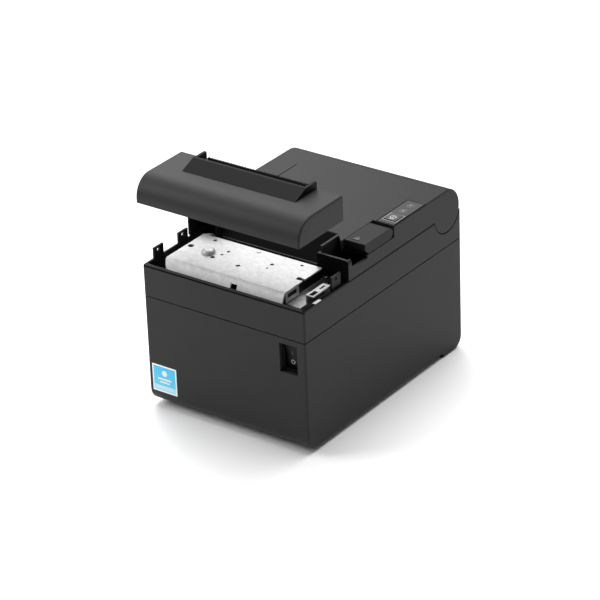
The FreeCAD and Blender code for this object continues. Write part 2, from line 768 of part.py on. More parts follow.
def add_lever_tray(body):
    """Finger recess and the tray that the release lever lies in."""
    rib = "(exit_half + exit_rib)"
    tray_left = f"({LEVER_LEFT} - lever_gap)"
    tray_rear = f"({LEVER_Y} + lever_height/2 + lever_back_gap)"
    tray_floor = "(lid_height - lever_height - lever_gap)"
    block_rear = f"{tray_rear} + tray_wall/3"
    block = rectangle(f"{tray_left} - tray_wall", f"{HALF} - shell/2", "exit_rear - wall", block_rear)
    prism(body, "LeverTray", "XY", f"{tray_floor} - tray_wall", "lid_height - shell/2", [block])
    well = [
        (rib, "bay_depth + shell"),
        (LID_INNER, "bay_depth + shell"),
        (LID_INNER, "lever_start + 2*wall"),
        (tray_left, "lever_start + 2*wall"),
        (tray_left, "lever_start - wall*3/2"),
        (rib, "exit_rear - wall"),
    ]
    prism(body, "FingerRecess", "XY", "rim_height + recess_floor", "lid_height + wall", [well], cut=True)
    notch_low = "lid_height - recess_notch_height - wall"
    notch = rectangle("recess_notch_start", "lever_start + wall", notch_low, "lid_height + wall")
    prism(body, "RecessNotch", "YZ", f"{LID_INNER} - wall", f"{HALF} + wall", [notch], cut=True)
    soften(body, "NotchCurves", "wall", runs_along(0, [("recess_notch_start", notch_low)]))
    slot = rectangle(tray_left, f"{HALF} + wall", "lever_start - lever_gap", tray_rear)
    prism(body, "LeverSlot", "XY", tray_floor, "lid_height + wall", [slot], cut=True)
    shoulder = rectangle("exit_half - wall", f"{HALF} + wall", "bay_depth - wall", "recess_notch_start")
    step = "(lid_height - shoulder_drop)"
    prism(body, "ShoulderDrop", "XY", step, "lid_height + wall", [shoulder], cut=True)
    soften(body, "ShoulderCorner", "shoulder_curve", runs_along(1, [(HALF, step)]))
    bore = [(LEVER_Y, LEVER_Z, "lever_pin_radius")]
    prism(body, "LeverPinBore", "YZ", f"{tray_left} - 2*tray_wall", f"{tray_left} + wall", bore, cut=True)


def add_panel_seat(body):
    """Shallow seat for the control panel, with wells for the button and the lamps."""
    right = f"({PANEL_LEFT} + panel_width)"
    rear = "(panel_start + panel_length)"
    seat = rectangle(
        f"{PANEL_LEFT} - panel_gap", f"{right} + panel_gap", "panel_start - panel_gap", f"{rear} + panel_gap"
    )
    prism(body, "PanelSeat", "XY", "lid_height - panel_thickness", "lid_height + wall", [seat], cut=True)
    middle = f"({PANEL_LEFT} + panel_width/2)"
    reach = "(button_size/2 + button_gap)"
    start = "(panel_start + button_start)"
    end = f"({start} + button_size)"
    left, right = f"{middle} - {reach}", f"{middle} + {reach}"
    well = rectangle(left, right, f"{start} - button_gap", f"{end} + button_gap")
    prism(body, "ButtonWell", "XY", "lid_height - 2*shell", "lid_height", [well], cut=True)
    lamps = [
        (middle, f"panel_start + first_lamp + {step}*lamp_step", "lamp_radius + button_gap")
        for step in (0, 1)
    ]
    prism(body, "LampWells", "XY", "lid_height - 2*shell", "lid_height", lamps, cut=True)


def add_platen_brackets(body):
    """Plates under the lid's front slope that carry the platen bushes."""
    near = "(platen_half + bracket_gap)"
    far = "(platen_half + bracket_gap + bracket_gauge)"
    reach = "(shaft_radius + bush_wall + shell)"
    outline = [
        ("bay_depth + exit_setback + shell/2", "rim_height + exit_lip - shell"),
        (f"platen_y - {reach}/2", f"platen_z - {reach}"),
        (f"platen_y + {reach}", f"platen_z - {reach}"),
        ("exit_rear", "rim_height + exit_lip"),
        ("exit_rear", "lid_height - shell/2"),
    ]
    for side, low, high in both_sides(near, far):
        prism(body, f"PlatenPlate_{side}", "YZ", low, high, [outline])
    for side, low, high in both_sides(f"{near} - bracket_gap/2", f"{far} + bracket_gap/2"):
        bore = [("platen_y", "platen_z", "shaft_radius + bush_wall")]
        prism(body, f"PlatenBore_{side}", "YZ", low, high, bore, cut=True)


def make_front_cover():
    """Lift-off cover over the cutter, with a window for the paper exit."""
    body = new_body("front_cover")
    block = rectangle("0", "cover_depth", LID_FLOOR, COVER_TOP)
    prism(body, "CoverBlock", "YZ", f"-{HALF}", HALF, [block])
    hollow = [
        ("shell", "rim_height - wall"),
        ("cover_depth + wall", "rim_height - wall"),
        ("cover_depth + wall", f"{COVER_TOP} - shell"),
        ("shell", f"{COVER_TOP} - shell"),
    ]
    prism(body, "CoverHollow", "YZ", f"-{LID_INNER}", LID_INNER, [hollow], cut=True)
    soften(body, "HollowCurve", "cover_curve - shell", runs_along(0, [("shell", f"{COVER_TOP} - shell")]))
    soften(body, "CoverCurve", "cover_curve", runs_along(0, [("0", COVER_TOP)]))
    corners = [(side + HALF, "0") for side in ("", "-")]
    soften(body, "CoverCorners", "corner_curve", runs_along(2, corners))
    window = rectangle("-guide_half", "guide_half", "guide_start", "cover_depth + wall")
    prism(body, "GuideWindow", "XY", f"{COVER_TOP} - 2*shell", f"{COVER_TOP} + wall", [window], cut=True)
    for side, near, far in both_sides(f"{HALF} - 2*wall - shell", f"{HALF} - shell/2"):
        low, high = f"{LID_FLOOR} + cover_curve", f"{COVER_TOP} - shell/2"
        rib = rectangle("cover_depth/2 - shell/2", "cover_depth/2 + shell/2", low, high)
        prism(body, f"CoverRib_{side}", "YZ", near, far, [rib])
    add_node(body, "front_cover", raised=True)


def make_paper_exit_guide():
    """Dark ramp in the front cover, with end cheeks and an open slot behind its ridge."""
    body = new_body("paper_exit_guide")
    high = f"({COVER_TOP} + guide_rise)"
    outline = [
        ("guide_start", COVER_TOP),
        ("guide_start", f"{COVER_TOP} - guide_skirt"),
        ("cover_depth", f"{COVER_TOP} - guide_skirt"),
        ("cover_depth", high),
        ("guide_ridge", high),
    ]
    prism(body, "Ramp", "YZ", "-guide_half", "guide_half", [outline])
    hollow = [
        ("guide_start + shell", f"{COVER_TOP} - guide_skirt - wall"),
        ("guide_ridge + ridge_width - shell", f"{COVER_TOP} - guide_skirt - wall"),
        ("guide_ridge + ridge_width - shell", f"{high} - shell"),
        ("guide_start + shell", f"{COVER_TOP} - shell"),
    ]
    between = ("cheek_width - guide_half", "guide_half - cheek_width")
    prism(body, "RampHollow", "YZ", *between, [hollow], cut=True)
    under = f"{COVER_TOP} - guide_skirt - wall"
    behind = rectangle("guide_ridge + ridge_width", "cover_depth + wall", under, f"{high} + wall")
    prism(body, "ExitSlot", "YZ", *between, [behind], cut=True)
    shelf_low = f"{COVER_TOP} - guide_skirt"
    shelf = rectangle("cover_depth - 2*shell - tear_gauge", "cover_depth", shelf_low, f"{shelf_low} + shell")
    prism(body, "TearShelf", "YZ", "cheek_width/2 - guide_half", "guide_half - cheek_width/2", [shelf])
    add_node(body, "paper_exit_guide", raised=True)


def make_tear_bar():
    """Toothed strip standing on the guide's shelf, for tearing paper by hand."""
    pitch = value("tear_pitch")
    half = value("tear_half")
    root = value(f"{COVER_TOP} + tear_rise - tear_tooth")
    tip = value(f"{COVER_TOP} + tear_rise")
    foot = value(f"{COVER_TOP} - guide_skirt + shell")
    count = round(2 * half / pitch)
    front = value("cover_depth - shell - tear_gauge")
    points = [FreeCAD.Vector(-half, front, foot)]
    for index in range(count):
        points.append(FreeCAD.Vector(-half + index * 2 * half / count, front, root))
        points.append(FreeCAD.Vector(-half + (index + 0.5) * 2 * half / count, front, tip))
    points.append(FreeCAD.Vector(half, front, root))
    points.append(FreeCAD.Vector(half, front, foot))
    outline = Part.makePolygon(points + points[:1])
    strip = Part.Face(outline).extrude(FreeCAD.Vector(0, value("tear_gauge"), 0))
    bar = doc.addObject("Part::Feature", "tear_bar")
    bar.Shape = strip
    add_node(bar, "tear_bar", raised=True)


def make_release_lever():
    """Lever lifted from the finger recess; its rear end is round about its pin."""
    body = new_body("cover_release_lever")
    right = f"({HALF} - lever_gap/2)"
    low = "(lid_height - lever_height)"
    outline = [
        ("lever_start", "lid_height - lever_height/2"),
        ("lever_start + lever_height/2", low),
        (LEVER_Y, low),
        (LEVER_Y, "lid_height"),
        ("lever_start", "lid_height"),
    ]
    prism(body, "LeverBar", "YZ", LEVER_LEFT, right, [outline])
    prism(body, "LeverEnd", "YZ", LEVER_LEFT, right, [(LEVER_Y, LEVER_Z, "lever_height/2")])
    soften(body, "LeverFront", "lever_gap*2", runs_along(0, [("lever_start", "lid_height")]))
    hollow = rectangle(
        f"{LEVER_LEFT} + lever_wall",
        f"{right} - lever_wall",
        "lever_start + lever_height",
        f"{LEVER_Y} - lever_height/2",
    )
    prism(body, "LeverHollow", "XY", f"{low} - wall", "lid_height - lever_wall", [hollow], cut=True)
    bore = [(LEVER_Y, LEVER_Z, "lever_pin_radius + hinge_fit")]
    prism(body, "LeverBore", "YZ", f"{LEVER_LEFT} - wall", f"{right} - lever_wall", bore, cut=True)
    add_node(body, "cover_release_lever")
    pin = rod(
        "lever_pin",
        "x",
        f"{LEVER_LEFT} - lever_gap - tray_wall",
        f"{right} - lever_wall - lever_gap",
        LEVER_Y,
        LEVER_Z,
        "lever_pin_radius",
    )
    add_node(pin, "lever_pin")


def make_control_panel():
    """Pale strip beside the lever, with the feed button and two lamps."""
    middle = f"({PANEL_LEFT} + panel_width/2)"
    body = new_body("control_panel")
    strip = rectangle(PANEL_LEFT, f"{PANEL_LEFT} + panel_width", "panel_start", "panel_start + panel_length")
    start = "(panel_start + button_start)"
    reach = "(button_size/2 + button_gap)"
    end = f"({start} + button_size)"
    left, right = f"{middle} - {reach}", f"{middle} + {reach}"
    window = rectangle(left, right, f"{start} - button_gap", f"{end} + button_gap")
    lamp_places = [f"panel_start + first_lamp + {step}*lamp_step" for step in (0, 1)]
    holes = [(middle, along, "lamp_radius") for along in lamp_places]
    low = "lid_height - panel_thickness"
    prism(body, "Strip", "XY", low, "lid_height", [strip, window] + holes)
    add_node(body, "control_panel")
    cap = new_body("feed_button")
    face = rectangle(f"{middle} - button_size/2", f"{middle} + button_size/2", start, end)
    top = "(lid_height + button_proud)"
    prism(cap, "Cap", "XY", f"{top} - button_height", top, [face])
    sides = [(f"{middle} {sign} button_size/2", along) for sign in "+-" for along in (start, end)]
    soften(cap, "CapCorners", "button_gap*4", runs_along(2, sides))
    stem = (middle, f"{start} + button_size/2", "lamp_radius")
    prism(cap, "Stem", "XY", f"{top} - 2*button_height", f"{top} - button_height/2", [stem])
    add_node(cap, "feed_button")
    low, high = "lid_height - 2*shell", "lid_height + button_gap/2"
    lenses = [
        rod(f"lens_{step}", "z", low, high, middle, along, "lamp_radius")
        for step, along in enumerate(lamp_places)
    ]
    add_node(grouped("lamp_lenses", lenses), "lamp_lenses")


def make_power_switch():
    """Rocker switch in the front wall, with its spade terminals behind."""
    body = new_body("power_switch_body")
    left, right = "switch_left", SWITCH_RIGHT
    low, high = "switch_bottom", SWITCH_TOP
    prism(body, "SwitchBlock", "XZ", "switch_inset", "switch_depth", [rectangle(left, right, low, high)])
    well = rectangle(
        f"{left} + switch_border",
        f"{right} - switch_border",
        f"{low} + switch_border",
        f"{high} - switch_border",
    )
    prism(body, "SwitchWell", "XZ", "switch_inset - wall", "switch_inset + switch_well", [well], cut=True)
    blades = [
        rectangle(
            "switch_left + switch_width/2 - terminal_half",
            "switch_left + switch_width/2 + terminal_half",
            f"switch_bottom + switch_height*{part} - line_gap",
            f"switch_bottom + switch_height*{part} + line_gap",
        )
        for part in (0.25, 0.5, 0.75)
    ]
    prism(body, "Terminals", "XZ", "switch_depth - wall/2", "switch_depth + terminal_length", blades)
    middle_z = "(switch_bottom + switch_height/2)"
    ear = "(switch_border*3/5)"
    pivot_y = "(switch_inset + rocker_pivot)"
    hole = [(pivot_y, middle_z, "rocker_pin_radius + hinge_fit")]
    hole_left, hole_right = f"{left} + switch_border - {ear}", f"{right} - switch_border + {ear}"
    prism(body, "PivotHoles", "YZ", hole_left, hole_right, hole, cut=True)
    add_node(body, "power_switch_body")
    rocker = new_body("power_rocker")
    half = "(switch_height/2 - switch_border - rocker_gap)"
    face = "(switch_inset + rocker_tilt)"
    outline = [
        (f"{face} + rocker_tilt/4", f"{middle_z} - {half}"),
        (f"{face} - rocker_tilt/8", middle_z),
        (f"{face} - rocker_tilt*0.9", f"{middle_z} + {half}"),
        (f"{face} - rocker_tilt*0.9 + rocker_depth/2", f"{middle_z} + {half}"),
        (f"{face} + rocker_depth*0.8", middle_z),
        (f"{face} + rocker_tilt/4 + rocker_depth/3", f"{middle_z} - {half}"),
    ]
    prism(
        rocker,
        "Rocker",
        "YZ",
        f"{left} + switch_border + rocker_gap",
        f"{right} - switch_border - rocker_gap",
        [outline],
    )
    reach = f"({ear} - rocker_gap/4)"
    pins = [(pivot_y, middle_z, "rocker_pin_radius")]
    pin_left, pin_right = f"{left} + switch_border - {reach}", f"{right} - switch_border + {reach}"
    prism(rocker, "RockerPins", "YZ", pin_left, pin_right, pins)
    add_node(rocker, "power_rocker")
    label = slab(
        "front_label",
        "-label_left",
        "-label_left + label_size",
        "-label_gauge",
        "0",
        "label_bottom",
        "label_bottom + label_size",
    )
    add_node(label, "front_label")


def make_feet_and_screws():
    """Rubber feet under the tub and the screws that hold the case together."""
    across = f"({HALF} - foot_inset)"
    feet = [
        rod(f"foot_{side}_{along}", "z", "0", "underside", sign + across, along, "foot_radius")
        for side, sign in (("right", ""), ("left", "-"))
        for along in ("foot_front", "foot_rear")
    ]
    add_node(grouped("rubber_feet", feet), "rubber_feet")
    screws = []
    for number, (x, y) in enumerate(boss_places()):
        seat = "(underside + screw_recess)"
        low = f"{seat} - screw_head_height"
        head = rod(f"screw_head_{number}", "z", low, seat, x, y, "screw_head_radius")
        top = f"{SEAM_TOP} + screw_grip - line_gap"
        shank = rod(f"screw_shank_{number}", "z", f"{seat} - screw_head_height/2", top, x, y, "screw_radius")
        screws.append(joined(f"screw_{number}", [head, shank]))
    add_node(grouped("case_screws", screws), "case_screws")


def make_hinge_pins_and_clip():
    """Pivot pins of the paper cover, and the earthing clip on the right rim."""
    inner = f"{LID_INNER} - hinge_boss - arm_gap - arm_thickness"
    pins = [
        rod(f"hinge_pin_{side}", "x", near, far, HINGE_Y, HINGE_Z, "hinge_pin_radius")
        for side, near, far in both_sides(inner, f"{HALF} - shell/3 - arm_gap/4")
    ]
    add_node(grouped("hinge_pins", pins), "hinge_pins")
    left = f"({HALF} - clip_reach)"
    rear = "clip_start + clip_width"
    inside = f"({left} - clip_sheet)"
    low = "rim_height - clip_sheet"
    flat = slab("clip_flat", inside, f"{HALF} - wall/5", "clip_start", rear, low, "rim_height")
    leg = slab("clip_leg", inside, left, "clip_start", rear, "rim_height - clip_drop", "rim_height")
    add_node(joined("earth_clip", [flat, leg]), "earth_clip")


def make_paper_bucket():
    """Round-bottomed tray for the paper roll, hung by its flange."""
    body = new_body("paper_bucket")
    out = "(roll_radius + bucket_wall)"
    end = "(roll_half + bucket_wall)"
    flange_low = "(seam_height + ledge_height)"
    flange_top = "(seam_height + ledge_height + bucket_wall)"
    prism(body, "Round", "YZ", f"-{end}", end, [("roll_y", "roll_z", out)])
    upper = rectangle(f"roll_y - {out}", f"roll_y + {out}", "roll_z", flange_top)
    prism(body, "Upper", "YZ", f"-{end}", end, [upper])
    over = rectangle(f"roll_y - 2*{out}", f"roll_y + 2*{out}", flange_top, "roll_z + 2*roll_radius")
    prism(body, "Level", "YZ", f"-2*{end}", f"2*{end}", [over], cut=True)
    wide = f"({end} + bucket_flange)"
    flange = rectangle(f"-{wide}", wide, f"roll_y - {out}", f"roll_y + {out}")
    prism(body, "Flange", "XY", flange_low, flange_top, [flange])
    prism(body, "RollSpace", "YZ", "-roll_half", "roll_half", [("roll_y", "roll_z", "roll_radius")], cut=True)
    mouth = rectangle("roll_y - roll_radius", "roll_y + roll_radius", "roll_z", f"{flange_top} + wall")
    prism(body, "Mouth", "YZ", "-roll_half", "roll_half", [mouth], cut=True)
    add_node(body, "paper_bucket")


def make_mechanism_frame():
    """Folded steel frame that carries the head, the feed motor and the cutter."""
    body = new_body("mechanism_frame")
    outline = rectangle("frame_front", "frame_rear", "frame_floor", TRAY_FLOOR)
    prism(body, "FrameBlock", "YZ", "-frame_half", "frame_half", [outline])
    inner = "(frame_half - frame_sheet)"
    frame_top = f"{TRAY_FLOOR} + wall"
    inside = rectangle("frame_front - wall", "frame_rear + wall", "frame_floor + frame_sheet", frame_top)
    prism(body, "FrameInside", "YZ", f"-{inner}", inner, [inside], cut=True)
    slot = "(shaft_radius + frame_sheet)"
    shaft_slot = rectangle(f"platen_y - {slot}", f"platen_y + {slot}", f"platen_z - {slot}", frame_top)
    opening_low, opening_high = "frame_floor + wall*2", "motor_z - motor_radius/2"
    opening = rectangle("frame_front + motor_radius", "platen_y - motor_radius/2", opening_low, opening_high)
    pivot = (HEAD_PIVOT_Y, HEAD_PIVOT_Z, "head_pin_radius + shaft_fit")
    cuts = [shaft_slot, opening, pivot]
    prism(body, "ShaftSlots", "YZ", "-frame_half - wall", "frame_half + wall", cuts, cut=True)
    hole = [("motor_y", "motor_z", "motor_shaft*3")]
    prism(body, "MotorHole", "YZ", "-frame_half - wall", "-frame_half + wall", hole, cut=True)
    bar_low, bar_high = "head_bottom - line_gap", "head_bottom + head_height*0.6"
    cross = rectangle(f"-{inner} - frame_sheet/2", f"{inner} + frame_sheet/2", bar_low, bar_high)
    prism(body, "SpringBar", "XZ", f"{SPRING_BAR} - frame_sheet", SPRING_BAR, [cross])
    bores = [(x, y, "screw_radius + screw_clearance") for x, y in post_places()]
    prism(body, "ScrewHoles", "XY", "frame_floor - wall", "frame_floor + wall", bores, cut=True)
    add_node(body, "mechanism_frame")
    screws = []
    seat = "(frame_floor + frame_sheet)"
    for number, (x, y) in enumerate(post_places()):
        top = f"{seat} + screw_head_height"
        head = rod(f"frame_head_{number}", "z", seat, top, x, y, "screw_head_radius")
        low = "(frame_floor - screw_grip + line_gap)"
        shank = rod(f"frame_shank_{number}", "z", low, f"{seat} + screw_head_height/2", x, y, "screw_radius")
        screws.append(joined(f"frame_screw_{number}", [head, shank]))
    add_node(grouped("frame_screw_set", screws), "mechanism_screws")


def make_print_head():
    """Heat sink with its ceramic head, pressed towards the platen by a leaf spring."""
    body = new_body("head_heat_sink")
    top = "(head_bottom + head_height)"
    block = rectangle(SINK_FRONT, HEAD_FACE, "head_bottom", top)
    prism(body, "Sink", "YZ", "-head_half", "head_half", [block])
    fins = [
        rectangle(
            f"-head_half*0.9 + head_half*0.3*{index}",
            f"-head_half*0.9 + head_half*0.3*{index} + head_half*0.12",
            "head_bottom + head_height/3",
            f"{top} + wall",
        )
        for index in range(6)
    ]
    prism(body, "SinkFins", "XZ", f"{SINK_FRONT} - wall", f"{SINK_FRONT} + sink_gauge/2", fins, cut=True)
    for side, near, far in both_sides("head_half - wall", "frame_half - line_gap"):
        trunnion = [(HEAD_PIVOT_Y, HEAD_PIVOT_Z, "head_pin_radius")]
        prism(body, f"Trunnion_{side}", "YZ", near, far, trunnion)
    add_node(body, "head_heat_sink")
    strip_rear, strip_low = f"{HEAD_FACE} + head_gauge", "head_bottom + head_height/4"
    ceramic = slab("thermal_head", "-head_half", "head_half", HEAD_FACE, strip_rear, strip_low, top)
    add_node(ceramic, "thermal_head")
    spring = new_body("head_spring")
    bar = SPRING_BAR
    gauge = "frame_sheet/2"
    bend = "(head_bottom + head_height*0.2)"
    middle = "(head_bottom + head_height/2)"
    end = "(head_bottom + head_height*0.8)"
    tip = f"({SINK_FRONT} - line_gap*3)"
    outline = [
        (bar, "head_bottom"),
        (f"{bar} + {gauge}", "head_bottom"),
        (f"{bar} + {gauge}", bend),
        (tip, middle),
        (f"{bar} + 3*{gauge}", end),
        (f"{bar} + 2*{gauge}", end),
        (f"{tip} - {gauge}*3/2", middle),
        (bar, f"{bend} + {gauge}"),
    ]
    prism(spring, "Leaf", "YZ", "-head_half/2", "head_half/2", [outline])
    add_node(spring, "head_spring")


def make_platen():
    """Rubber feed roller on a steel shaft, in two bushes."""
    shaft_left = "-(gear_plane + gear_face + frame_sheet)"
    shaft_right = "(platen_half + bracket_gap + bracket_gauge + bracket_gap)"
    shaft = rod("platen_shaft", "x", shaft_left, shaft_right, "platen_y", "platen_z", "shaft_radius")
    add_node(shaft, "platen_shaft")
    rubber = rod("rubber", "x", "-platen_half", "platen_half", "platen_y", "platen_z", "platen_radius")
    bore = rod("rubber_bore", "x", "-2*platen_half", "2*platen_half", "platen_y", "platen_z", "shaft_radius")
    add_node(taken_from("platen_roller", rubber, [bore]), "platen_roller")
    bushes = []
    bush_start = "platen_half + bracket_gap"
    for side, near, far in both_sides(bush_start, f"{bush_start} + bracket_gauge"):
        ring = rod(f"bush_{side}", "x", near, far, "platen_y", "platen_z", "shaft_radius + bush_wall")
        through = (f"{near} - wall", f"{far} + wall")
        hole = rod(f"bush_bore_{side}", "x", *through, "platen_y", "platen_z", "shaft_radius + shaft_fit")
        bushes.append(taken_from(f"bush_ring_{side}", ring, [hole]))
    add_node(grouped("platen_bushes", bushes), "platen_bushes")


PINION_TEETH = 12
IDLER_TEETH = 31
PLATEN_TEETH = 22


def gear_train():
    """Work out the gears' module, and the idler's middle on the line from motor to platen."""
    across = value("platen_y - motor_y")
    up = value("platen_z - motor_z")
    span = math.hypot(across, up)
    module = span / (PINION_TEETH / 2 + IDLER_TEETH + PLATEN_TEETH / 2)
    part = module * (PINION_TEETH + IDLER_TEETH) / 2 / span
    idler = (value("motor_y") + across * part, value("motor_z") + up * part)
    return module, idler, math.atan2(up, across)


def gear(label, teeth, middle, bore, first_tooth):
    """Make a spur gear on the gear plane, with a tooth at the given angle."""
    module, _, _ = gear_train()
    pitch_radius = module * teeth / 2
    step = 2 * math.pi / teeth
    profile = ((-0.27, -0.85), (-0.15, 0.35), (0.15, 0.35), (0.27, -0.85))
    left = value("-(gear_plane + gear_face)")
    points = []
    for index in range(teeth):
        for turn, rise in profile:
            angle = first_tooth + (index + turn) * step
            radius = pitch_radius + rise * module
            across = middle[0] + radius * math.cos(angle)
            up = middle[1] + radius * math.sin(angle)
            points.append(FreeCAD.Vector(left, across, up))
    face = Part.Face(Part.makePolygon(points + points[:1]))
    blank = face.extrude(FreeCAD.Vector(value("gear_face"), 0, 0))
    centre = FreeCAD.Vector(left - value("wall"), middle[0], middle[1])
    hole = Part.makeCylinder(bore, value("gear_face + 2*wall"), centre, FreeCAD.Vector(1, 0, 0))
    blank = blank.cut(hole)
    item = doc.addObject("Part::Feature", label)
    item.Shape = blank
    add_node(item, label)


def make_feed_train():
    """Stepper motor, pinion, idler and platen gear on the left of the frame."""
    _, idler, line = gear_train()
    inner = "(-frame_half + frame_sheet)"
    motor = ("motor_y", "motor_z")
    can = rod("motor_can", "x", inner, f"{inner} + motor_length", *motor, "motor_radius")
    boss = rod("motor_boss", "x", f"{inner} - frame_sheet", f"{inner} + wall", *motor, "motor_shaft*2.6")
    bore_end = f"{inner} + motor_length/2"
    bore = rod("motor_bore", "x", f"{inner} - wall", bore_end, *motor, "motor_shaft + shaft_fit")
    add_node(taken_from("feed_motor", joined("motor_case", [can, boss]), [bore]), "feed_motor")
    shaft_end = "-(gear_plane + gear_face + frame_sheet)"
    shaft = rod("motor_shaft_rod", "x", shaft_end, f"{bore_end} - line_gap", *motor, "motor_shaft")
    add_node(shaft, "motor_shaft")
    gear("motor_pinion", PINION_TEETH, (value("motor_y"), value("motor_z")), value("motor_shaft"), line)
    gap_turn = math.pi / IDLER_TEETH
    gear("idler_gear", IDLER_TEETH, idler, value("post_pin_radius + shaft_fit"), line + math.pi + gap_turn)
    facing = (line - (line + math.pi + gap_turn)) / (2 * math.pi / IDLER_TEETH)
    phase = facing - math.floor(facing)
    platen_first = line + math.pi + (phase + 0.5) * (2 * math.pi / PLATEN_TEETH)
    platen = (value("platen_y"), value("platen_z"))
    gear("platen_gear", PLATEN_TEETH, platen, value("shaft_radius"), platen_first)
    post = doc.addObject("Part::Feature", "idler_post")
    start = FreeCAD.Vector(value("-(gear_plane + gear_face + frame_sheet)"), idler[0], idler[1])
    length = value("gear_plane + gear_face + frame_sheet - frame_half")
    along = FreeCAD.Vector(1, 0, 0)
    pin = Part.makeCylinder(value("post_pin_radius"), length, start, along)
    collar_start = FreeCAD.Vector(value("-gear_plane + line_gap"), idler[0], idler[1])
    collar_length = value("gear_plane - line_gap - frame_half")
    collar = Part.makeCylinder(value("2*post_pin_radius"), collar_length, collar_start, along)
    post.Shape = pin.fuse(collar).removeSplitter()
    add_node(post, "idler_post")


def make_cutter():
    """Cutter tray with its bright cover plate, blades and drive."""
    tray = new_body("cutter_tray")
    left, right = "-(plate_left - tray_gap - plate_sheet)", "(plate_right - tray_gap - plate_sheet)"
    front, rear = "(plate_front + plate_sheet + tray_gap)", "(plate_rear - tray_gap)"
    top = "(plate_height - plate_sheet)"
    prism(tray, "TrayBlock", "XY", TRAY_FLOOR, top, [rectangle(left, right, front, rear)])
    hollow = rectangle(
        f"{left} + plate_sheet", f"{right} - plate_sheet", f"{front} + plate_sheet", f"{rear} - plate_sheet"
    )
    prism(tray, "TrayHollow", "XY", f"{TRAY_FLOOR} + plate_sheet", f"{top} + wall", [hollow], cut=True)
    slot_low, slot_high = "blade_height - blade_slot", "blade_height + blade_gauge + blade_slot"
    slot = rectangle("-blade_left - blade_slot", "blade_right + blade_slot", slot_low, slot_high)
    prism(tray, "BladeSlot", "XZ", f"{rear} - 2*plate_sheet", f"{rear} + wall", [slot], cut=True)
    drive = [(CUTTER_X, "cutter_motor_y", "pinion_radius*0.7")]
    prism(tray, "DriveHole", "XY", f"{TRAY_FLOOR} - wall", f"{TRAY_FLOOR} + 2*plate_sheet", drive, cut=True)
    add_node(tray, "cutter_tray")
    make_cutter_plate()
    make_blades()
    low = f"({TRAY_FLOOR} - cutter_motor_length)"
    middle = (CUTTER_X, "cutter_motor_y")
    can = rod("cutter_can", "z", low, TRAY_FLOOR, *middle, "cutter_motor_radius")
    neck = rod("cutter_neck", "z", f"{low} - wall", f"{low} + wall", *middle, "cutter_motor_radius/2")
    through = (f"{TRAY_FLOOR} - 2*wall", f"{TRAY_FLOOR} + wall")
    bore = rod("cutter_bore", "z", *through, *middle, "motor_shaft + shaft_fit")
    add_node(taken_from("cutter_motor", joined("cutter_case", [can, neck]), [bore]), "cutter_motor")


# Holes in the cutter's plate: distance from its left end, distance from its front fold, radius
PLATE_HOLES = (
    (4.0, 24.0, 2.4),
    (14.0, 40.5, 1.6),
    (29.0, 17.3, 1.8),
    (32.4, 24.0, 1.1),
    (33.6, 30.5, 1.3),
    (53.1, 15.9, 1.7),
    (72.9, 30.5, 1.5),
    (73.3, 23.9, 0.9),
    (92.5, 40.5, 1.3),
    (102.8, 22.5, 2.3),
)
KEY_SLOT = (20.7, 24.1)
FLANGE_NOTCH = (60.9, 66.3)
DOME_PLACE = (22.2, 21.4)
NUB_PLACE = (53.0, 41.5)


def on_plate(across, along):
    """Give a place on the cutter's plate from its left end and its front fold."""
    return f"(-plate_left + {across})", f"(plate_front + {along})"


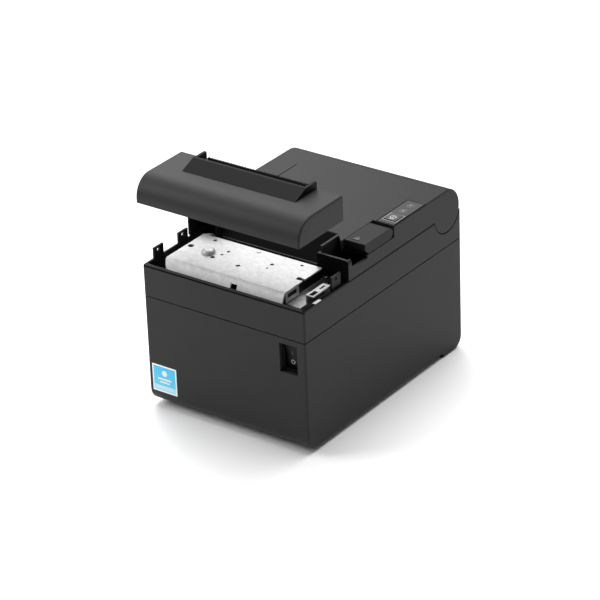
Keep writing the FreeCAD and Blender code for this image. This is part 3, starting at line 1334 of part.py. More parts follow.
def make_cutter_plate():
    """Folded bright plate over the cutter: leaning front flange, pressed boss, holes and a keyhole."""
    plate = new_body("cutter_cover_plate")
    toe = "(plate_front - flange_run)"
    low = "(plate_height - plate_flange)"
    fold = "(plate_front - fold_run)"
    fold_z = "(plate_height - fold_drop)"
    section = [
        ("plate_rear", "plate_height"),
        ("plate_front", "plate_height"),
        (fold, fold_z),
        (toe, low),
        (f"{toe} + plate_sheet", low),
        (f"{fold} + plate_sheet", f"{fold_z} - plate_sheet*0.6"),
        ("plate_front + plate_sheet/2", "plate_height - plate_sheet"),
        ("plate_rear", "plate_height - plate_sheet"),
    ]
    prism(plate, "Sheet", "YZ", "-plate_left", "plate_right", [section])
    outside = "(-plate_left - wall)"
    corner = [(outside, f"{toe} - wall"), ("-plate_left + plate_corner", f"{toe} - wall")]
    for step in range(5):
        angle = math.radians(270 - 22.5 * step)
        across = f"-plate_left + plate_corner*{1 + math.cos(angle):.4f}"
        corner.append((across, f"{toe} + plate_corner*{1 + math.sin(angle):.4f}"))
    corner.append((outside, f"{toe} + plate_corner"))
    prism(plate, "RoundCorner", "XY", f"{low} - wall", "plate_height + wall", [corner], cut=True)
    side_low, side_end = "(plate_height - side_flange)", "(plate_front + side_length)"
    side = rectangle("plate_front", side_end, side_low, "plate_height - plate_sheet/2")
    prism(plate, "SideFlange", "YZ", "plate_right - plate_sheet", "plate_right", [side])
    window = rectangle(
        "plate_front + side_border",
        f"{side_end} - side_border",
        f"{side_low} + side_border",
        "plate_height - plate_sheet - side_border/2",
    )
    prism(plate, "SideWindow", "YZ", "plate_right - 2*plate_sheet", "plate_right + wall", [window], cut=True)
    left, right = [f"(-plate_left + {across})" for across in FLANGE_NOTCH]
    notch = rectangle(left, right, f"{low} - wall", f"{low} + plate_flange/2")
    prism(plate, "FlangeNotch", "XZ", f"{toe} - wall", "plate_front", [notch], cut=True)
    through = ("plate_height - 2*plate_sheet", "plate_height + wall")
    holes = [(*on_plate(across, along), str(radius)) for across, along, radius in PLATE_HOLES]
    prism(plate, "PlateHoles", "XY", *through, holes, cut=True)
    near, far = [f"(plate_front + {along})" for along in KEY_SLOT]
    key_left = on_plate(*PLATE_HOLES[-1][:2])[0]
    prism(plate, "KeySlot", "XY", *through, [rectangle(key_left, "plate_right + wall", near, far)], cut=True)
    add_dome(plate, "Dome", *on_plate(*DOME_PLACE), "boss_dome", "dome_rise")
    add_dome(plate, "Nub", *on_plate(*NUB_PLACE), "nub_radius", "nub_rise")
    add_node(plate, "cutter_cover_plate")


def add_dome(plate, name, x, y, radius, rise):
    """Press a round boss up from the plate."""
    prism(plate, name, "XY", "plate_height - plate_sheet/2", f"plate_height + {rise}", [(x, y, radius)])
    height = value(f"plate_height + {rise}")

    def on_top(edge):
        return edge.Curve.TypeId == "Part::GeomCircle" and abs(edge.Curve.Center.z - height) < 1e-6

    soften(plate, name + "Edge", f"{rise}*0.8", on_top)


def make_blades():
    """Moving blade with a shallow vee edge and a rack, its pinion, and the fixed blade."""
    blade = new_body("moving_blade")
    top = "blade_height + blade_gauge"
    rear = "(blade_start + blade_length)"
    middle = "((blade_right - blade_left)/2)"
    outline = [
        ("-blade_left", "blade_start"),
        ("blade_right", "blade_start"),
        ("blade_right", rear),
        (middle, f"{rear} - blade_vee"),
        ("-blade_left", rear),
    ]
    prism(blade, "Blade", "XY", "blade_height", top, [outline])
    pitch = value("pinion_radius") * 2 * math.pi / PINION_TEETH
    teeth = []
    for index in range(-4, 2):
        middle_y = (index + 0.5) * pitch
        half_root = 0.27 * pitch
        half_tip = 0.15 * pitch
        teeth.append(
            [
                ("blade_right - wall", f"cutter_motor_y + {middle_y - half_root}"),
                ("blade_right", f"cutter_motor_y + {middle_y - half_root}"),
                ("blade_right + rack_tooth", f"cutter_motor_y + {middle_y - half_tip}"),
                ("blade_right + rack_tooth", f"cutter_motor_y + {middle_y + half_tip}"),
                ("blade_right", f"cutter_motor_y + {middle_y + half_root}"),
                ("blade_right - wall", f"cutter_motor_y + {middle_y + half_root}"),
            ]
        )
    prism(blade, "Rack", "XY", "blade_height", top, teeth)
    add_node(blade, "moving_blade")
    half = "(exit_half - bracket_gap)"
    seat = "(bay_depth + exit_setback)"
    low, high = f"{top} + blade_slot", "rim_height + exit_lip"
    anvil = slab("fixed_blade", f"-{half}", half, f"{seat} - plate_sheet", seat, low, high)
    add_node(anvil, "fixed_blade")


def make_side_bracket():
    """Bright sheet bracket to the right of the cutter, on a foot fixed to the frame."""
    body = new_body("side_bracket")
    low = "(bracket_height - bracket_drop)"
    outline = rectangle("bracket_left", "bracket_right", "bracket_front", "bracket_rear")
    prism(body, "BracketTop", "XY", "bracket_height - plate_sheet", "bracket_height", [outline])
    leg = rectangle("bracket_front", "bracket_rear", low, "bracket_height")
    prism(body, "BracketLeg", "YZ", "bracket_left", "bracket_left + plate_sheet", [leg])
    foot = rectangle("frame_half", "bracket_left + plate_sheet", "bracket_foot", "bracket_rear - 2*wall")
    prism(body, "BracketFoot", "XY", low, f"{low} + plate_sheet", [foot])
    window = rectangle(
        "bracket_left + 3/2*plate_sheet",
        "bracket_right - plate_sheet",
        "bracket_front + plate_sheet",
        "bracket_front + bracket_window",
    )
    middle = "((bracket_left + bracket_right)/2)"
    slot = rectangle(
        f"{middle} - bracket_slot",
        f"{middle} + bracket_slot",
        "bracket_rear - bracket_window",
        "bracket_rear - wall",
    )
    cuts = [window, slot]
    prism(body, "BracketWindows", "XY", "bracket_height - wall", "bracket_height + wall", cuts, cut=True)
    add_node(body, "side_bracket")


def make_electronics():
    """Main board under the paper bucket, with the sockets in the rear dock."""
    rear = f"({DOCK_WALL} - board_gap)"
    board = slab("main_board", "-board_half", "board_half", "board_front", rear, "board_height", BOARD_TOP)
    add_node(board, "main_board")
    face = "(case_depth - dock_depth + port_proud)"
    for name, middle, width, height, mouth_width, mouth_height in PORTS:
        body = new_body(name)
        top = f"{BOARD_TOP} + {height}"
        case = rectangle(f"{middle} - {width}/2", f"{middle} + {width}/2", BOARD_TOP, top)
        prism(body, "Shell", "XZ", f"{rear} - {height}", face, [case])
        low = f"({BOARD_TOP} + {height}/2 - {mouth_height}/2)"
        left, right = f"({middle} - {mouth_width}/2)", f"({middle} + {mouth_width}/2)"
        mouth = rectangle(left, right, low, f"{low} + {mouth_height}")
        back = f"({rear} - {height}/2)"
        prism(body, "Mouth", "XZ", back, f"{face} + wall", [mouth], cut=True)
        inset = f"({mouth_width}/6)"
        tongue_low, tongue_top = f"{low} - port_fit/2", f"{low} + contact_rise"
        tongue = rectangle(f"{left} + {inset}", f"{right} - {inset}", tongue_low, tongue_top)
        prism(body, "Contacts", "XZ", f"{back} - port_fit/2", f"{face} - 2*port_proud", [tongue])
        add_node(body, name)
    inlet = new_body("power_inlet")
    left, right = f"{INLET_MIDDLE} - {INLET_SIZE}/2", f"{INLET_MIDDLE} + {INLET_SIZE}/2"
    case = rectangle(left, right, BOARD_TOP, f"{BOARD_TOP} + {INLET_SIZE}")
    prism(inlet, "Shell", "XZ", f"{rear} - {INLET_SIZE}", face, [case])
    bore = [(str(INLET_MIDDLE), f"({BOARD_TOP} + {INLET_SIZE}/2)", str(INLET_BORE))]
    prism(inlet, "Bore", "XZ", f"{rear} - {INLET_SIZE}/2", f"{face} + wall", bore, cut=True)
    add_node(inlet, "power_inlet")


def make_cutter_pinion():
    """Pinion on the cutter motor's shaft, under the cover plate."""
    radius = value("pinion_radius")
    step = 2 * math.pi / PINION_TEETH
    module = 2 * radius / PINION_TEETH
    profile = ((-0.27, -0.85), (-0.15, 0.2), (0.15, 0.2), (0.27, -0.85))
    centre_x = value(CUTTER_X)
    centre_y = value("cutter_motor_y")
    low = value("blade_height - blade_gauge")
    points = []
    for index in range(PINION_TEETH):
        for turn, rise in profile:
            angle = math.pi + (index + turn) * step
            reach = radius + rise * module
            across = centre_x + reach * math.cos(angle)
            along = centre_y + reach * math.sin(angle)
            points.append(FreeCAD.Vector(across, along, low))
    rim = Part.makePolygon(points + points[:1])
    wheel = Part.Face(rim).extrude(FreeCAD.Vector(0, 0, value("3*blade_gauge")))
    foot = FreeCAD.Vector(centre_x, centre_y, value(f"{TRAY_FLOOR} - wall"))
    spindle = Part.makeCylinder(value("motor_shaft"), value(f"blade_height - ({TRAY_FLOOR}) + wall"), foot)
    item = doc.addObject("Part::Feature", "cutter_pinion")
    item.Shape = wheel.fuse(spindle).removeSplitter()
    add_node(item, "cutter_pinion")


make_lower_case()
make_upper_case()
make_cover_tabs()
make_paper_cover()
make_front_cover()
make_paper_exit_guide()
make_tear_bar()
make_release_lever()
make_control_panel()
make_power_switch()
make_feet_and_screws()
make_hinge_pins_and_clip()
make_paper_bucket()
make_mechanism_frame()
make_print_head()
make_platen()
make_feed_train()
make_cutter()
make_cutter_pinion()
make_side_bracket()
make_electronics()

doc.recompute()
for item in doc.Objects:
    if "Invalid" in item.State or "Error" in item.State:
        raise RuntimeError(f"{item.Name} failed: {item.State}")
for node in NODES:
    if node.Shape.isNull() or not node.Shape.isValid():
        raise RuntimeError(f"{node.Label} has no valid shape")
os.makedirs("parts", exist_ok=True)
for node in NODES:
    node.Shape.exportStep(f"parts/{node.Label}.step")
    print(node.Label, len(node.Shape.Solids), round(node.Shape.Volume, 1))
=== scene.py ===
import bpy
from mathutils import Matrix, Vector


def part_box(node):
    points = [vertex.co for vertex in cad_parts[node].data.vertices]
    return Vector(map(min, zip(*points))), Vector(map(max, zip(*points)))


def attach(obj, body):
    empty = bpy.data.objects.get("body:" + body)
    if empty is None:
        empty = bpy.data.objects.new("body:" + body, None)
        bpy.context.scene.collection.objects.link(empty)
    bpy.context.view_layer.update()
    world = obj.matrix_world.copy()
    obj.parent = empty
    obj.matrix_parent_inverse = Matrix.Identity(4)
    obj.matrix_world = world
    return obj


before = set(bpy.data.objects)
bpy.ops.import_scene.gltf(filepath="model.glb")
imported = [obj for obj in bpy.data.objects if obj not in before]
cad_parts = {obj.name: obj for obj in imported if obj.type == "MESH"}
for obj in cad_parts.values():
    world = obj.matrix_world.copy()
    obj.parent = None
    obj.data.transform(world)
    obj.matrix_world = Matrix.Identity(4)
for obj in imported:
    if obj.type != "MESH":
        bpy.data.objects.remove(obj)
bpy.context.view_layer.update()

# Case: two injection-moulded halves in charcoal plastic with a fine spark-eroded grain.
# The lower tub and the upper ring meet at a shadow line and are held by screws from below.
# The ring's right rim has painted shade on top, near-black, and a painted shade line runs under its front
# rim.


def new_group(name, inputs, outputs):
    """Make an empty shader node group with float inputs and the given outputs."""
    group = bpy.data.node_groups.new(name, "ShaderNodeTree")
    for socket, default in inputs:
        made = group.interface.new_socket(socket, in_out="INPUT", socket_type="NodeSocketFloat")
        made.default_value = default
    for socket, kind in outputs:
        group.interface.new_socket(socket, in_out="OUTPUT", socket_type=kind)
    return group, group.nodes.new("NodeGroupInput"), group.nodes.new("NodeGroupOutput")


def math_node(tree, operation, *values):
    """Add a math node, linking sockets and setting plain numbers."""
    node = tree.nodes.new("ShaderNodeMath")
    node.operation = operation
    for index, given in enumerate(values):
        if isinstance(given, bpy.types.NodeSocket):
            tree.links.new(given, node.inputs[index])
        else:
            node.inputs[index].default_value = given
    return node.outputs[0]


def noise(tree, vector, scale, detail=2.0, roughness=0.5):
    """Add a noise texture and give its value."""
    node = tree.nodes.new("ShaderNodeTexNoise")
    tree.links.new(vector, node.inputs["Vector"])
    if isinstance(scale, bpy.types.NodeSocket):
        tree.links.new(scale, node.inputs["Scale"])
    else:
        node.inputs["Scale"].default_value = scale
    node.inputs["Detail"].default_value = detail
    node.inputs["Roughness"].default_value = roughness
    return node.outputs["Fac"]


GRAIN_DEPTH = 0.00004
PATCH_SCALE, MOTTLE_SCALE, DUST_SCALE = 160.0, 22.0, 900.0
DUST_LIMIT = 0.76


def make_grain_group():
    """Moulded surface: rounded edges, fine grain, polished edges, slow mottle and settled dust."""
    inputs = [("Grain", 2600.0), ("Depth", 0.25), ("Edge", 0.0004)]
    outputs = [("Normal", "NodeSocketVector"), ("Wear", "NodeSocketFloat")]
    outputs += [("Mottle", "NodeSocketFloat"), ("Dust", "NodeSocketFloat")]
    group, given, out = new_group("moulded_grain", inputs, outputs)
    coords = group.nodes.new("ShaderNodeTexCoord")
    place = coords.outputs["Object"]
    bevel = group.nodes.new("ShaderNodeBevel")
    bevel.samples = 4
    group.links.new(given.outputs["Edge"], bevel.inputs["Radius"])
    bump = group.nodes.new("ShaderNodeBump")
    bump.inputs["Distance"].default_value = GRAIN_DEPTH
    group.links.new(given.outputs["Depth"], bump.inputs["Strength"])
    group.links.new(noise(group, place, given.outputs["Grain"], 3.0), bump.inputs["Height"])
    group.links.new(bevel.outputs[0], bump.inputs["Normal"])
    group.links.new(bump.outputs[0], out.inputs["Normal"])
    flat = group.nodes.new("ShaderNodeNewGeometry").outputs["Normal"]
    turn = group.nodes.new("ShaderNodeVectorMath")
    turn.operation = "DOT_PRODUCT"
    group.links.new(bevel.outputs[0], turn.inputs[0])
    group.links.new(flat, turn.inputs[1])
    edge = math_node(group, "MULTIPLY", math_node(group, "SUBTRACT", 1.0, turn.outputs["Value"]), 4.0)
    patch = math_node(group, "MULTIPLY", edge, noise(group, place, PATCH_SCALE, 3.0))
    group.links.new(math_node(group, "MINIMUM", patch, 1.0), out.inputs["Wear"])
    group.links.new(noise(group, place, MOTTLE_SCALE, 4.0), out.inputs["Mottle"])
    upward = group.nodes.new("ShaderNodeSeparateXYZ")
    group.links.new(coords.outputs["Normal"], upward.inputs[0])
    specks = math_node(group, "GREATER_THAN", noise(group, place, DUST_SCALE, 1.0), DUST_LIMIT)
    lying = math_node(group, "MAXIMUM", upward.outputs["Z"], 0.0)
    group.links.new(math_node(group, "MULTIPLY", specks, lying), out.inputs["Dust"])
    return group


GRAIN = make_grain_group()


def new_material(name):
    """Make a material with an empty tree and its Principled shader."""
    made = bpy.data.materials.new(name)
    made.use_nodes = True
    return made, made.node_tree, made.node_tree.nodes["Principled BSDF"]


def mixed(tree, factor, first, second):
    """Mix two colours, each a socket or a grey level or a colour."""
    node = tree.nodes.new("ShaderNodeMix")
    node.data_type = "RGBA"
    tree.links.new(factor, node.inputs["Factor"])
    for socket, given in (("A", first), ("B", second)):
        target = [s for s in node.inputs if s.name == socket and s.type == "RGBA"][0]
        if isinstance(given, bpy.types.NodeSocket):
            tree.links.new(given, target)
        else:
            level = (given,) * 3 if isinstance(given, float) else given
            target.default_value = (*level, 1.0)
    return [s for s in node.outputs if s.type == "RGBA"][0]


DUST_GREY, DUST_SHARE = 0.5, 0.05
# Near-black for dark joint lines and for painted shade.
JOINT_AND_SHADE_BLACK = 0.0015
ROUGH_SPREAD = 0.12


def moulded(
    name, colour, rough, grain=2600.0, depth=0.25, edge=0.0004, shine=0.3, print_over=None, joint_and_shade_over=None
):
    """Moulded plastic, with marks laid over it by print_over and a rough near-black zone from the last mask,
    for dark joints and painted shade.
    """
    made, tree, shader = new_material(name)
    surface = tree.nodes.new("ShaderNodeGroup")
    surface.node_tree = GRAIN
    surface.inputs["Grain"].default_value = grain
    surface.inputs["Depth"].default_value = depth
    surface.inputs["Edge"].default_value = edge
    level = (colour,) * 3 if isinstance(colour, float) else colour
    pale = tuple(min(1.0, part * 1.25 + 0.002) for part in level)
    worn = tuple(min(1.0, part * 1.6 + 0.012) for part in level)
    shade = mixed(tree, surface.outputs["Mottle"], level, pale)
    shade = mixed(tree, surface.outputs["Wear"], shade, worn)
    faint = math_node(tree, "MULTIPLY", surface.outputs["Dust"], DUST_SHARE)
    shade = mixed(tree, faint, shade, DUST_GREY)
    if print_over:
        shade = print_over(tree, shade)
    tree.links.new(shade, shader.inputs["Base Color"])
    least = rough - ROUGH_SPREAD / 2
    softer = math_node(tree, "MULTIPLY_ADD", surface.outputs["Mottle"], ROUGH_SPREAD, least)
    tree.links.new(softer, shader.inputs["Roughness"])
    tree.links.new(surface.outputs["Normal"], shader.inputs["Normal"])
    shader.inputs["Specular IOR Level"].default_value = shine
    # The masked zone is near-black and rough: a dark joint line on the panel, painted shade on the ring and
    # the lid.
    if joint_and_shade_over:
        zone = joint_and_shade_over(tree)
        tree.links.new(mixed(tree, zone, shade, JOINT_AND_SHADE_BLACK), shader.inputs["Base Color"])
        tree.links.new(math_node(tree, "MAXIMUM", softer, zone), shader.inputs["Roughness"])
    return made


def dress(made, *names):
    """Give CAD nodes a material."""
    for name in names:
        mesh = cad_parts[name].data
        mesh.materials.clear()
        mesh.materials.append(made)


def object_place(tree):
    """Give the three object coordinates as sockets."""
    place = tree.nodes.new("ShaderNodeSeparateXYZ")
    tree.links.new(tree.nodes.new("ShaderNodeTexCoord").outputs["Object"], place.inputs[0])
    return place.outputs["X"], place.outputs["Y"], place.outputs["Z"]


def patch_mask(tree, across, along, middle, half):
    """Mask of a rectangle given by its middle and half sizes."""
    first = math_node(tree, "COMPARE", across, middle[0], half[0])
    second = math_node(tree, "COMPARE", along, middle[1], half[1])
    return math_node(tree, "MULTIPLY", first, second)


RIM_SKIN = 0.0003
# Painted shade line under the front rim's bead: its drop below the rim top, its half height and its reach
# into the face.
SHADE_LINE_DROP, SHADE_LINE_HALF, SHADE_LINE_DEPTH = 0.0013, 0.0005, 0.0008
ring_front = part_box("upper_case")[0].y
clip_low, clip_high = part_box("earth_clip")
lid_low, lid_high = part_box("paper_cover")


def rim_painted_shade(tree):
    """Mask of painted shade: the right rim's top face beside the cutter bay, and a line under the front rim's
    bead.
    """
    x, y, z = object_place(tree)
    beside = math_node(tree, "GREATER_THAN", x, clip_low.x)
    ahead = math_node(tree, "MULTIPLY", beside, math_node(tree, "LESS_THAN", y, lid_low.y))
    top = math_node(tree, "MULTIPLY", ahead, math_node(tree, "GREATER_THAN", z, clip_high.z - RIM_SKIN))
    middle = (ring_front, clip_high.z - SHADE_LINE_DROP)
    shade_line = patch_mask(tree, y, z, middle, (SHADE_LINE_DEPTH, SHADE_LINE_HALF))
    return math_node(tree, "MAXIMUM", top, shade_line)


dress(moulded("case_plastic", 0.024, 0.42, shine=0.1), "lower_case")
# The ring carries painted shade: a near-black right rim top and a dark line under the front rim.
dress(moulded("ring_plastic", 0.024, 0.42, shine=0.1, joint_and_shade_over=rim_painted_shade), "upper_case")

# Covers: the hinged paper cover, the lift-off front cover and the release lever.
# They are moulded in the same charcoal plastic as the case, with a slightly softer sheen.
# Painted shade: the lid's paper chute and front end are made near-black and rough for the shade they lie in.
CHUTE_HALF = 0.0453
CHUTE_START, CHUTE_END = -0.046, -0.0168
TOP_SKIN = 0.0004
END_SKIN = 0.0003


def lid_painted_shade(tree):
    """Mask of painted shade: the paper chute below the lid's top face, and the lid's front end."""
    x, y, z = object_place(tree)
    middle = (CHUTE_START + CHUTE_END) / 2
    inside = patch_mask(tree, x, y, (0.0, middle), (CHUTE_HALF, CHUTE_END - middle))
    chute = math_node(tree, "MULTIPLY", inside, math_node(tree, "LESS_THAN", z, lid_high.z - TOP_SKIN))
    return math_node(tree, "MAXIMUM", chute, math_node(tree, "LESS_THAN", y, lid_low.y + END_SKIN))


dress(moulded("lid_plastic", 0.018, 0.45, shine=0.13, joint_and_shade_over=lid_painted_shade), "paper_cover")
dress(moulded("cover_plastic", 0.022, 0.45, shine=0.14), "front_cover")
dress(moulded("lever_plastic", 0.01, 0.4, shine=0.1), "cover_release_lever")

# Paper guide, tear bar and cover tabs: smooth black plastic pieces clipped in place.
# The paper bucket and the bushes are moulded in the same black.
DARK_PLASTIC = moulded("dark_plastic", 0.004, 0.5, depth=0.1, shine=0.08)
dress(DARK_PLASTIC, "paper_exit_guide", "paper_bucket")
BLACK_PLASTIC = moulded("black_plastic", 0.003, 0.38, depth=0.05, shine=0.1)
dress(BLACK_PLASTIC, "tear_bar", "platen_bushes")
dress(moulded("tab_plastic", 0.01, 0.45, depth=0.1, shine=0.12), "cover_tabs")

# Lever mark: a small raised triangle moulded on the lever's top face.
# Its corners are rounded and it points to the rear, a little paler than the lever.
MARK_X, MARK_Y = 0.0616, -0.0172
MARK_SIZE = 0.0036
MARK_RISE = 0.0003
MARK_CORNER = 0.0005
MARK_EDGE = 0.0001
lever_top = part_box("cover_release_lever")[1].z
bpy.ops.object.select_all(action="DESELECT")
bpy.ops.mesh.primitive_cylinder_add(
    vertices=3, radius=MARK_SIZE, depth=MARK_RISE, location=(MARK_X, MARK_Y, lever_top + MARK_RISE / 2)
)
lever_mark = bpy.context.object
lever_mark.name = "lever_mark"
bpy.ops.object.transform_apply(location=True, rotation=True, scale=True)
bpy.ops.object.mode_set(mode="EDIT")
bpy.ops.mesh.select_mode(type="EDGE")
bpy.ops.mesh.select_all(action="DESELECT")
bpy.ops.object.mode_set(mode="OBJECT")
corners = lever_mark.data.vertices
for edge in lever_mark.data.edges:
    start, end = (corners[index].co for index in edge.vertices)
    edge.select = abs(start.z - end.z) > MARK_RISE / 2
bpy.ops.object.mode_set(mode="EDIT")
bpy.ops.mesh.bevel(offset=MARK_CORNER, segments=4)
bpy.ops.object.mode_set(mode="OBJECT")
softening = lever_mark.modifiers.new("softening", "BEVEL")
softening.width = MARK_EDGE
softening.segments = 2
softening.limit_method = "ANGLE"
bpy.ops.object.modifier_apply(modifier="softening")
lever_mark.data.materials.append(moulded("lever_mark_plastic", 0.055, 0.4))
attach(lever_mark, "release_lever")

# Control panel: a paler strip let into the lid, with the feed button and two lamps.
# The strip is printed with a line round the button and a faint ring round each lamp.


def ring_mask(tree, across, along, middle, radius, width):
    """Mask of a ring given by its middle, radius and half width."""
    offsets = [math_node(tree, "SUBTRACT", axis, at) for axis, at in zip((across, along), middle)]
    squares = [math_node(tree, "POWER", offset, 2.0) for offset in offsets]
    reach = math_node(tree, "SQRT", math_node(tree, "ADD", *squares))
    return math_node(tree, "COMPARE", reach, radius, width)


def any_mask(tree, masks):
    """Join masks into one."""
    joined = masks[0]
    for mask in masks[1:]:
        joined = math_node(tree, "MAXIMUM", joined, mask)
    return joined


button_low, button_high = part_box("feed_button")
BUTTON = ((button_low.x + button_high.x) / 2, (button_low.y + button_high.y) / 2)
BUTTON_HALF = (button_high.x - button_low.x) / 2
LAMP_RADIUS = 0.0015
lamps_low, lamps_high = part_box("lamp_lenses")
LAMP_Y = (lamps_low.y + LAMP_RADIUS, lamps_high.y - LAMP_RADIUS)
panel_low, panel_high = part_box("control_panel")
PANEL = ((panel_low.x + panel_high.x) / 2, (panel_low.y + panel_high.y) / 2)
PANEL_HALF = ((panel_high.x - panel_low.x) / 2, (panel_high.y - panel_low.y) / 2)
JOINT_WIDTH = 0.0006
LINE_START, LINE_END = 0.0005, 0.0009
LAMP_RING = (0.0026, 0.0002)
BUTTON_RING = (0.0022, 0.00022)
STEM_HALF = (0.00025, 0.0012)
BAR_DROP = 0.0032
BAR_HALF = (0.0022, 0.0002)
LINE_WHITE, LAMP_GREY, BUTTON_WHITE = 0.4, 0.16, 0.6


def panel_joint(tree):
    """Mask of the dark joint line round the strip."""
    x, y, _ = object_place(tree)
    strip = patch_mask(tree, x, y, PANEL, [half - JOINT_WIDTH for half in PANEL_HALF])
    return math_node(tree, "SUBTRACT", 1.0, strip)


def panel_print(tree, shade):
    """Pale line round the button and a ring round each lamp."""
    x, y, _ = object_place(tree)
    outer = patch_mask(tree, x, y, BUTTON, (BUTTON_HALF + LINE_END,) * 2)
    inner = patch_mask(tree, x, y, BUTTON, (BUTTON_HALF + LINE_START,) * 2)
    line = math_node(tree, "SUBTRACT", outer, inner)
    rings = [ring_mask(tree, x, y, (BUTTON[0], lamp), *LAMP_RING) for lamp in LAMP_Y]
    return mixed(tree, any_mask(tree, rings), mixed(tree, line, shade, LINE_WHITE), LAMP_GREY)


def button_print(tree, shade):
    """Ring with a stem in the middle of the button and a bar before it."""
    x, y, _ = object_place(tree)
    ring = ring_mask(tree, x, y, BUTTON, *BUTTON_RING)
    stem = patch_mask(tree, x, y, BUTTON, STEM_HALF)
    bar = patch_mask(tree, x, y, (BUTTON[0], BUTTON[1] - BAR_DROP), BAR_HALF)
    return mixed(tree, any_mask(tree, [ring, stem, bar]), shade, BUTTON_WHITE)


PANEL_PLASTIC = moulded(
    "panel_plastic",
    0.05,
    0.45,
    depth=0.12,
    edge=0.0002,
    shine=0.1,
    print_over=panel_print,
    joint_and_shade_over=panel_joint,
)
dress(PANEL_PLASTIC, "control_panel")
dress(moulded("button_plastic", 0.03, 0.4, depth=0.1, print_over=button_print), "feed_button")
dress(moulded("lens_plastic", (0.09, 0.1, 0.11), 0.15, depth=0.0, edge=0.0002), "lamp_lenses")

# Power switch: a glossy black rocker in a glossy frame, snapped into the front wall.
# The two ends of the rocker carry the usual stroke and ring.
PRINT_SHIFT = 0.0003
STROKE_RISE = 0.003
STROKE_HALF = (0.0003, 0.0016)
RING_DROP = 0.0047
ROCKER_RING = (0.0015, 0.0003)
STROKE_GREY, RING_GREY = 0.1, 0.38
rocker_low, rocker_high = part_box("power_rocker")
PRINT_X = (rocker_low.x + rocker_high.x) / 2 - PRINT_SHIFT
ROCKER_Z = (rocker_low.z + rocker_high.z) / 2


def rocker_print(tree, shade):
    """Pale stroke above and pale ring below."""
    x, _, z = object_place(tree)
    stroke = patch_mask(tree, x, z, (PRINT_X, ROCKER_Z + STROKE_RISE), STROKE_HALF)
    ring = ring_mask(tree, x, z, (PRINT_X, ROCKER_Z - RING_DROP), *ROCKER_RING)
    return mixed(tree, ring, mixed(tree, stroke, shade, STROKE_GREY), RING_GREY)


dress(moulded("rocker_plastic", 0.003, 0.3, depth=0.03, shine=0.1, print_over=rocker_print), "power_rocker")
dress(moulded("switch_plastic", 0.003, 0.35, depth=0.03, shine=0.08), "power_switch_body")

# Front label: a printed film sticker with a white border, stuck low on the front.
# Its blue field carries a disc, two bars and a pale strip of thin bars, with no wording.
label_low, label_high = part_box("front_label")
LABEL = ((label_low.x + label_high.x) / 2, (label_low.z + label_high.z) / 2)
LABEL_HALF = (label_high.x - label_low.x) / 2
BORDER = 0.0011
STRIP_DROP = 0.0055
DISC_RISE, DISC_RADIUS = 0.0048, 0.0024
UPPER_BLUE, LOWER_BLUE, STRIP_BLUE = (0.06, 0.52, 0.82), (0.13, 0.62, 0.86), (0.36, 0.74, 0.9)
FADE_RATE = 60.0
MARK_WHITE = 0.82
LABEL_BARS = {
    0.0002: (0.0062, 0.0007),
    0.0028: (0.0046, 0.0006),
    0.0068: (0.0076, 0.0003),
    0.0082: (0.0076, 0.0003),
}


def label_print(tree, shade):
    """Blue field inside a white border, with a disc and bars above a pale strip of thin bars."""
    x, _, z = object_place(tree)
    field = patch_mask(tree, x, z, LABEL, (LABEL_HALF - BORDER,) * 2)
    rise = math_node(tree, "SUBTRACT", z, LABEL[1])
    fade = math_node(tree, "MULTIPLY_ADD", rise, FADE_RATE, 0.5)
    clamped = math_node(tree, "MINIMUM", math_node(tree, "MAXIMUM", fade, 0.0), 1.0)
    blue = mixed(tree, clamped, LOWER_BLUE, UPPER_BLUE)
    strip = math_node(tree, "LESS_THAN", rise, -STRIP_DROP)
    blue = mixed(tree, strip, blue, STRIP_BLUE)
    marks = [ring_mask(tree, x, z, (LABEL[0], LABEL[1] + DISC_RISE), 0.0, DISC_RADIUS)]
    marks += [patch_mask(tree, x, z, (LABEL[0], LABEL[1] - drop), half) for drop, half in LABEL_BARS.items()]
    return mixed(tree, field, shade, mixed(tree, any_mask(tree, marks), blue, MARK_WHITE))


dress(moulded("label_film", 0.8, 0.35, depth=0.02, edge=0.00005, print_over=label_print), "front_label")

# Cutter and mechanism: zinc-plated steel sheet, ground blades and dark plated screws.
# The bright cover plate shows the plating's spangle and fine rolling marks.


ROLLING_STRETCH = (30.0, 1500.0, 300.0)
ROLLING_DEPTH, ROLLING_STRENGTH = 0.00003, 0.12
SMUDGE_SCALE = 60.0
SPANGLE_SHARE, SMUDGE_SHARE = 0.35, 0.65
SPANGLE_DULL, SMUDGE_DULL = 0.1, 0.2


